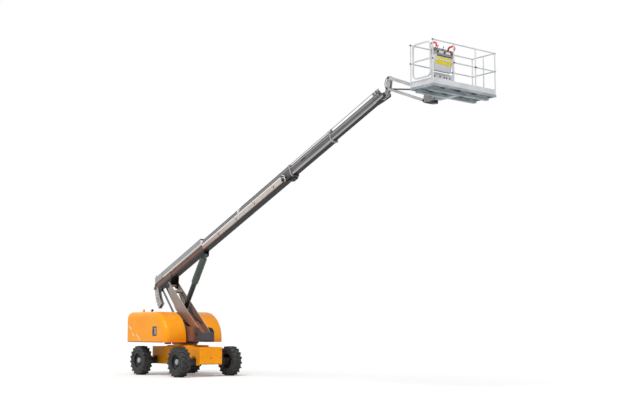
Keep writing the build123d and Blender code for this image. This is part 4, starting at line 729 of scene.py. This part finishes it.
# %% Rail plugs and clamps
rear_low, rear_high = (np.array(c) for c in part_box("rail_rear"))
front_high = np.array(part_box("rail_front")[1])
RAIL_RADIUS, RAIL_END_Y, MIDDLE_RAIL_Z = 0.02, 1.22, 8.72
REAR_X, FRONT_X = rear_low[0] + RAIL_RADIUS, front_high[0] - RAIL_RADIUS
RAIL_HEIGHTS = (rear_high[2] - RAIL_RADIUS, MIDDLE_RAIL_Z)
plugs = [lathe(button(0.0205, 0.02, 0.004, 0.016, 0.009, 0.001), [x, y * RAIL_END_Y, z], y * Y, X, Z, 20)
         for x in (REAR_X, FRONT_X) for y in (-1, 1) for z in RAIL_HEIGHTS]
grids_to_piece("rail_plugs", plugs, "platform", BLACK)
clamps = [lathe(sleeve(0.0205, 0.025, 0.03), [x, y, MIDDLE_RAIL_Z], Y, X, Z, 20)
          for x in (REAR_X, FRONT_X) for y in (-0.42, 0.42)]
grids_to_piece("rail_clamps", clamps, "platform", BLACK, caps=False)
print("rails at x", round(REAR_X, 3), round(FRONT_X, 3))

# %% [markdown]
# The hoops that guard the console wear thick red sleeves, each a round tube carried most of the way round
# the hoop's outline. The outline is a rounded rectangle whose points are rolled on by a few, so the gap
# between the sleeve's ends lies along the hoop's foot.

# %% Guard sleeves
guard_low, guard_high = (np.array(c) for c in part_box("console_guards"))
guard_middle = (guard_low + guard_high) / 2
HOOP_RADIUS, HOOP_CORNER, SLEEVE_RADIUS = 0.01, 0.075, 0.027
HOOP_START, HOOP_POINTS = 4, 38
hoop_size = guard_high - guard_low - 2 * HOOP_RADIUS
outline = rounded_box((hoop_size[0], hoop_size[2]), HOOP_CORNER, 12)
hoop = np.roll(outline, HOOP_START, axis=0)[:HOOP_POINTS]
heading = np.gradient(hoop, axis=0)
heading /= np.linalg.norm(heading, axis=1, keepdims=True)
across = heading[:, 1:] * X - heading[:, :1] * Z
sleeves = []
for y in (guard_low[1] + HOOP_RADIUS, guard_high[1] - HOOP_RADIUS):
    centre = np.array([guard_middle[0], y, guard_middle[2]])
    path = centre + hoop[:, :1] * X + hoop[:, 1:] * Z
    sleeves.append(tube(path, across, np.tile(Y, (len(path), 1)), SLEEVE_RADIUS, 12))
grids_to_piece("guard_sleeves", sleeves, "platform", RED)
print("sleeve points:", sleeves[0].shape)

# %% [markdown]
# A pale panel closes the rail below the console, on top of the kick plate. It has two faces, one to each
# side, and dark round discs at its holes, painted shade where the holes look dark.

# %% Kick panel
panel_middle = np.array([REAR_X, 0, 8.43])
panel = [pillow(panel_middle + s * 0.004 * X, Y, Z, s * X, (0.8, 0.42), 0.003, 0.012) for s in (-1, 1)]
grids_to_piece("kick_panel", panel, "platform", PANEL)
# Dark discs painted on both faces where the panel's holes show shade.
HOLE_SHADE_PLACES = (-0.3, -0.1, 0.06, 0.16, 0.28)
holes = [pillow(panel_middle + s * 0.0065 * X + y * Y + 0.1 * Z, Y, Z, s * X, (0.05, 0.05), 0.002, 0.0245)
         for s in (-1, 1) for y in HOLE_SHADE_PLACES]
grids_to_piece("kick_panel_hole_shade", holes, "platform", BLACK)
print("kick panel plugs:", len(holes))

# %% [markdown]
# Hydraulic hoses leave the boom tip in loops, cross the level head, and reach the rotator. More hoses run
# inside the arm and hang under the turntable, beside the valve blocks and the drives that slew it. A loop
# could be a simulated cord, but short hoses are stiff, so a smooth curve through chosen points gives the
# right hang.

# %% Hoses and slew drive
DRIVE_X, DRIVE_Z = -0.62, 1.2
tip_hoses = [hose([[10.86, y, 8.5], [10.62, y * 1.6, 8.78], [10.86, y * 1.8, 9.02], [10.95, y, 8.86]], 0.011)
             for y in (-0.02, 0.02)]
grids_to_piece("tip_hoses", tip_hoses, "level_head_body", HOSE)
post_hoses = [hose([[12.47, y, 8.24], [12.62, y * 2, 8.26], [12.71, y * 2, 8.1], [12.7, y, 7.95]], 0.010)
              for y in (-0.022, 0.022)]
grids_to_piece("post_hoses", post_hoses, "jib_post_body", HOSE)
under_hoses = [hose([[DRIVE_X, y, 1.19], [-0.7, y - 0.05, 1.08], [-0.86, y - 0.08, 1.09], [-0.95, y, 1.2]], 0.015)
               for y in (-0.3, -0.22, 0.24)]
grids_to_piece("under_hoses", under_hoses, "turntable", HOSE)
manifolds = [block([DRIVE_X, y, 1.15], Y, X, Z, 0.16, (0.14, 0.09), 0.012) for y in (-0.34, 0.34)]
grids_to_piece("hydraulic_manifolds", manifolds, "turntable", BLACK)
arm_hoses = [hose([[0.82, y, 1.86], [0.55, y, 2.0], [0.2, y, 2.02], [-0.25, y, 2.75], [-0.62, y, 3.0]], 0.014)
             for y in (-0.157, 0.157)]
grids_to_piece("arm_hoses", arm_hoses, "arm", HOSE)
DRIVE = [(0.07, 0), (0.07, -0.05), (0.055, -0.06), (0.055, -0.095), (TIP, -0.1)]
slew_drive = [lathe(DRIVE, [DRIVE_X, y, DRIVE_Z], Z, X, Y, 24) for y in (-0.12, 0.12)]
grids_to_piece("slew_drive", slew_drive, "turntable", BLACK)
print("hoses:", len(tip_hoses) + len(post_hoses) + len(under_hoses) + len(arm_hoses))

# %% [markdown]
# The chassis shows bolt heads near its front corners and along its sides. Bolt heads are small, so
# six-sided turned studs are enough, set in a grid on each plate.

# %% Chassis bolts
chassis_high = np.array(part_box("chassis_frame")[1])
STUD = button(0.013, 0.002, 0.008, 0.009, 0.011)
front_studs = [lathe(STUD, [chassis_high[0], y, z], X, Y, Z, 6) for y in (-0.38, 0.38) for z in (0.66, 0.92)]
side_studs = [lathe(STUD, [x, s * chassis_high[1], z], s * Y, X, Z, 6)
              for s in (-1, 1) for x in (-0.8, -0.3, 0.3, 0.8) for z in (0.95, 0.47)]
grids_to_piece("chassis_bolts", front_studs + side_studs, "chassis", BLACK)
print("bolts:", len(front_studs) + len(side_studs))

# %% [markdown]
# The machine stands on a pale floor before a white backdrop. The floor adds a little of its own light for
# the camera only, so it reads as white while it still takes the soft shadow under the tyres.

# %% Floor
FLOOR_HALF, FLOOR_GLOW = 150, 0.17
floor_mesh = bpy.data.meshes.new("studio_floor")
floor_corners = [(x * FLOOR_HALF, y * FLOOR_HALF, 0) for x, y in ((-1, -1), (1, -1), (1, 1), (-1, 1))]
floor_mesh.from_pydata(floor_corners, [], [(0, 1, 2, 3)])
floor = bpy.data.objects.new("studio_floor", floor_mesh)
bpy.context.collection.objects.link(floor)
floor_paint = bpy.data.materials.new("studio_floor_white")
floor_paint.use_nodes = True
tree = floor_paint.node_tree
matte = tree.nodes["Principled BSDF"]
matte.inputs["Base Color"].default_value = (0.86, 0.86, 0.86, 1)
matte.inputs["Roughness"].default_value = 0.95
matte.inputs["Specular IOR Level"].default_value = 0.0
glow = tree.nodes.new("ShaderNodeEmission")
rays = tree.nodes.new("ShaderNodeLightPath")
share = tree.nodes.new("ShaderNodeMath")
share.operation = "MULTIPLY"
share.inputs[1].default_value = FLOOR_GLOW
both = tree.nodes.new("ShaderNodeAddShader")
tree.links.new(rays.outputs["Is Camera Ray"], share.inputs[0])
tree.links.new(share.outputs[0], glow.inputs["Strength"])
tree.links.new(matte.outputs[0], both.inputs[0])
tree.links.new(glow.outputs[0], both.inputs[1])
tree.links.new(both.outputs[0], tree.nodes["Material Output"].inputs["Surface"])
floor_mesh.materials.append(floor_paint)
print("floor:", 2 * FLOOR_HALF, "m wide")

# %% [markdown]
# One broad sun and an even sky keep colours near their written values. The sky is at full strength where
# the camera or a shiny surface sees it, and weaker as plain light, so shadows stay. The camera stands low
# and far away, so the long boom keeps its proportions.

# %% Light and camera
SKY_LIGHT = 0.45
sky = bpy.data.worlds.new("studio_sky")
bpy.context.scene.world = sky
sky.use_nodes = True
tree = sky.node_tree
background = tree.nodes["Background"]
background.inputs["Color"].default_value = (1, 1, 1, 1)
rays = tree.nodes.new("ShaderNodeLightPath")
seen = tree.nodes.new("ShaderNodeMath")
seen.operation = "MAXIMUM"
mirrored = tree.nodes.new("ShaderNodeMath")
mirrored.operation = "MAXIMUM"
level = tree.nodes.new("ShaderNodeMapRange")
level.inputs["To Min"].default_value = SKY_LIGHT
level.inputs["To Max"].default_value = 1.0
tree.links.new(rays.outputs["Is Camera Ray"], seen.inputs[0])
tree.links.new(rays.outputs["Is Transmission Ray"], seen.inputs[1])
tree.links.new(seen.outputs[0], mirrored.inputs[0])
tree.links.new(rays.outputs["Is Glossy Ray"], mirrored.inputs[1])
tree.links.new(mirrored.outputs[0], level.inputs["Value"])
tree.links.new(level.outputs["Result"], background.inputs["Strength"])

SUN_FROM = Vector((0.45, -0.55, 0.9))
sun = bpy.data.objects.new("studio_sun", bpy.data.lights.new("studio_sun", "SUN"))
sun.data.energy = 2.2
sun.data.angle = radians(35)
sun.rotation_euler = SUN_FROM.to_track_quat("Z", "Y").to_euler()
bpy.context.collection.objects.link(sun)

LOOK = Vector((-0.7724, 0.6243, 0.1163))
camera = bpy.data.objects.new("camera", bpy.data.cameras.new("camera"))
camera.location = (33.535, -20.873, 1.74)
camera.rotation_euler = LOOK.to_track_quat("-Z", "Y").to_euler()
camera.data.lens = 60.7
camera.data.sensor_width = 36.0
camera.data.clip_end = 500
bpy.context.collection.objects.link(camera)
bpy.context.scene.camera = camera
bpy.context.scene.view_settings.view_transform = "Standard"
print("camera height:", camera.location.z)
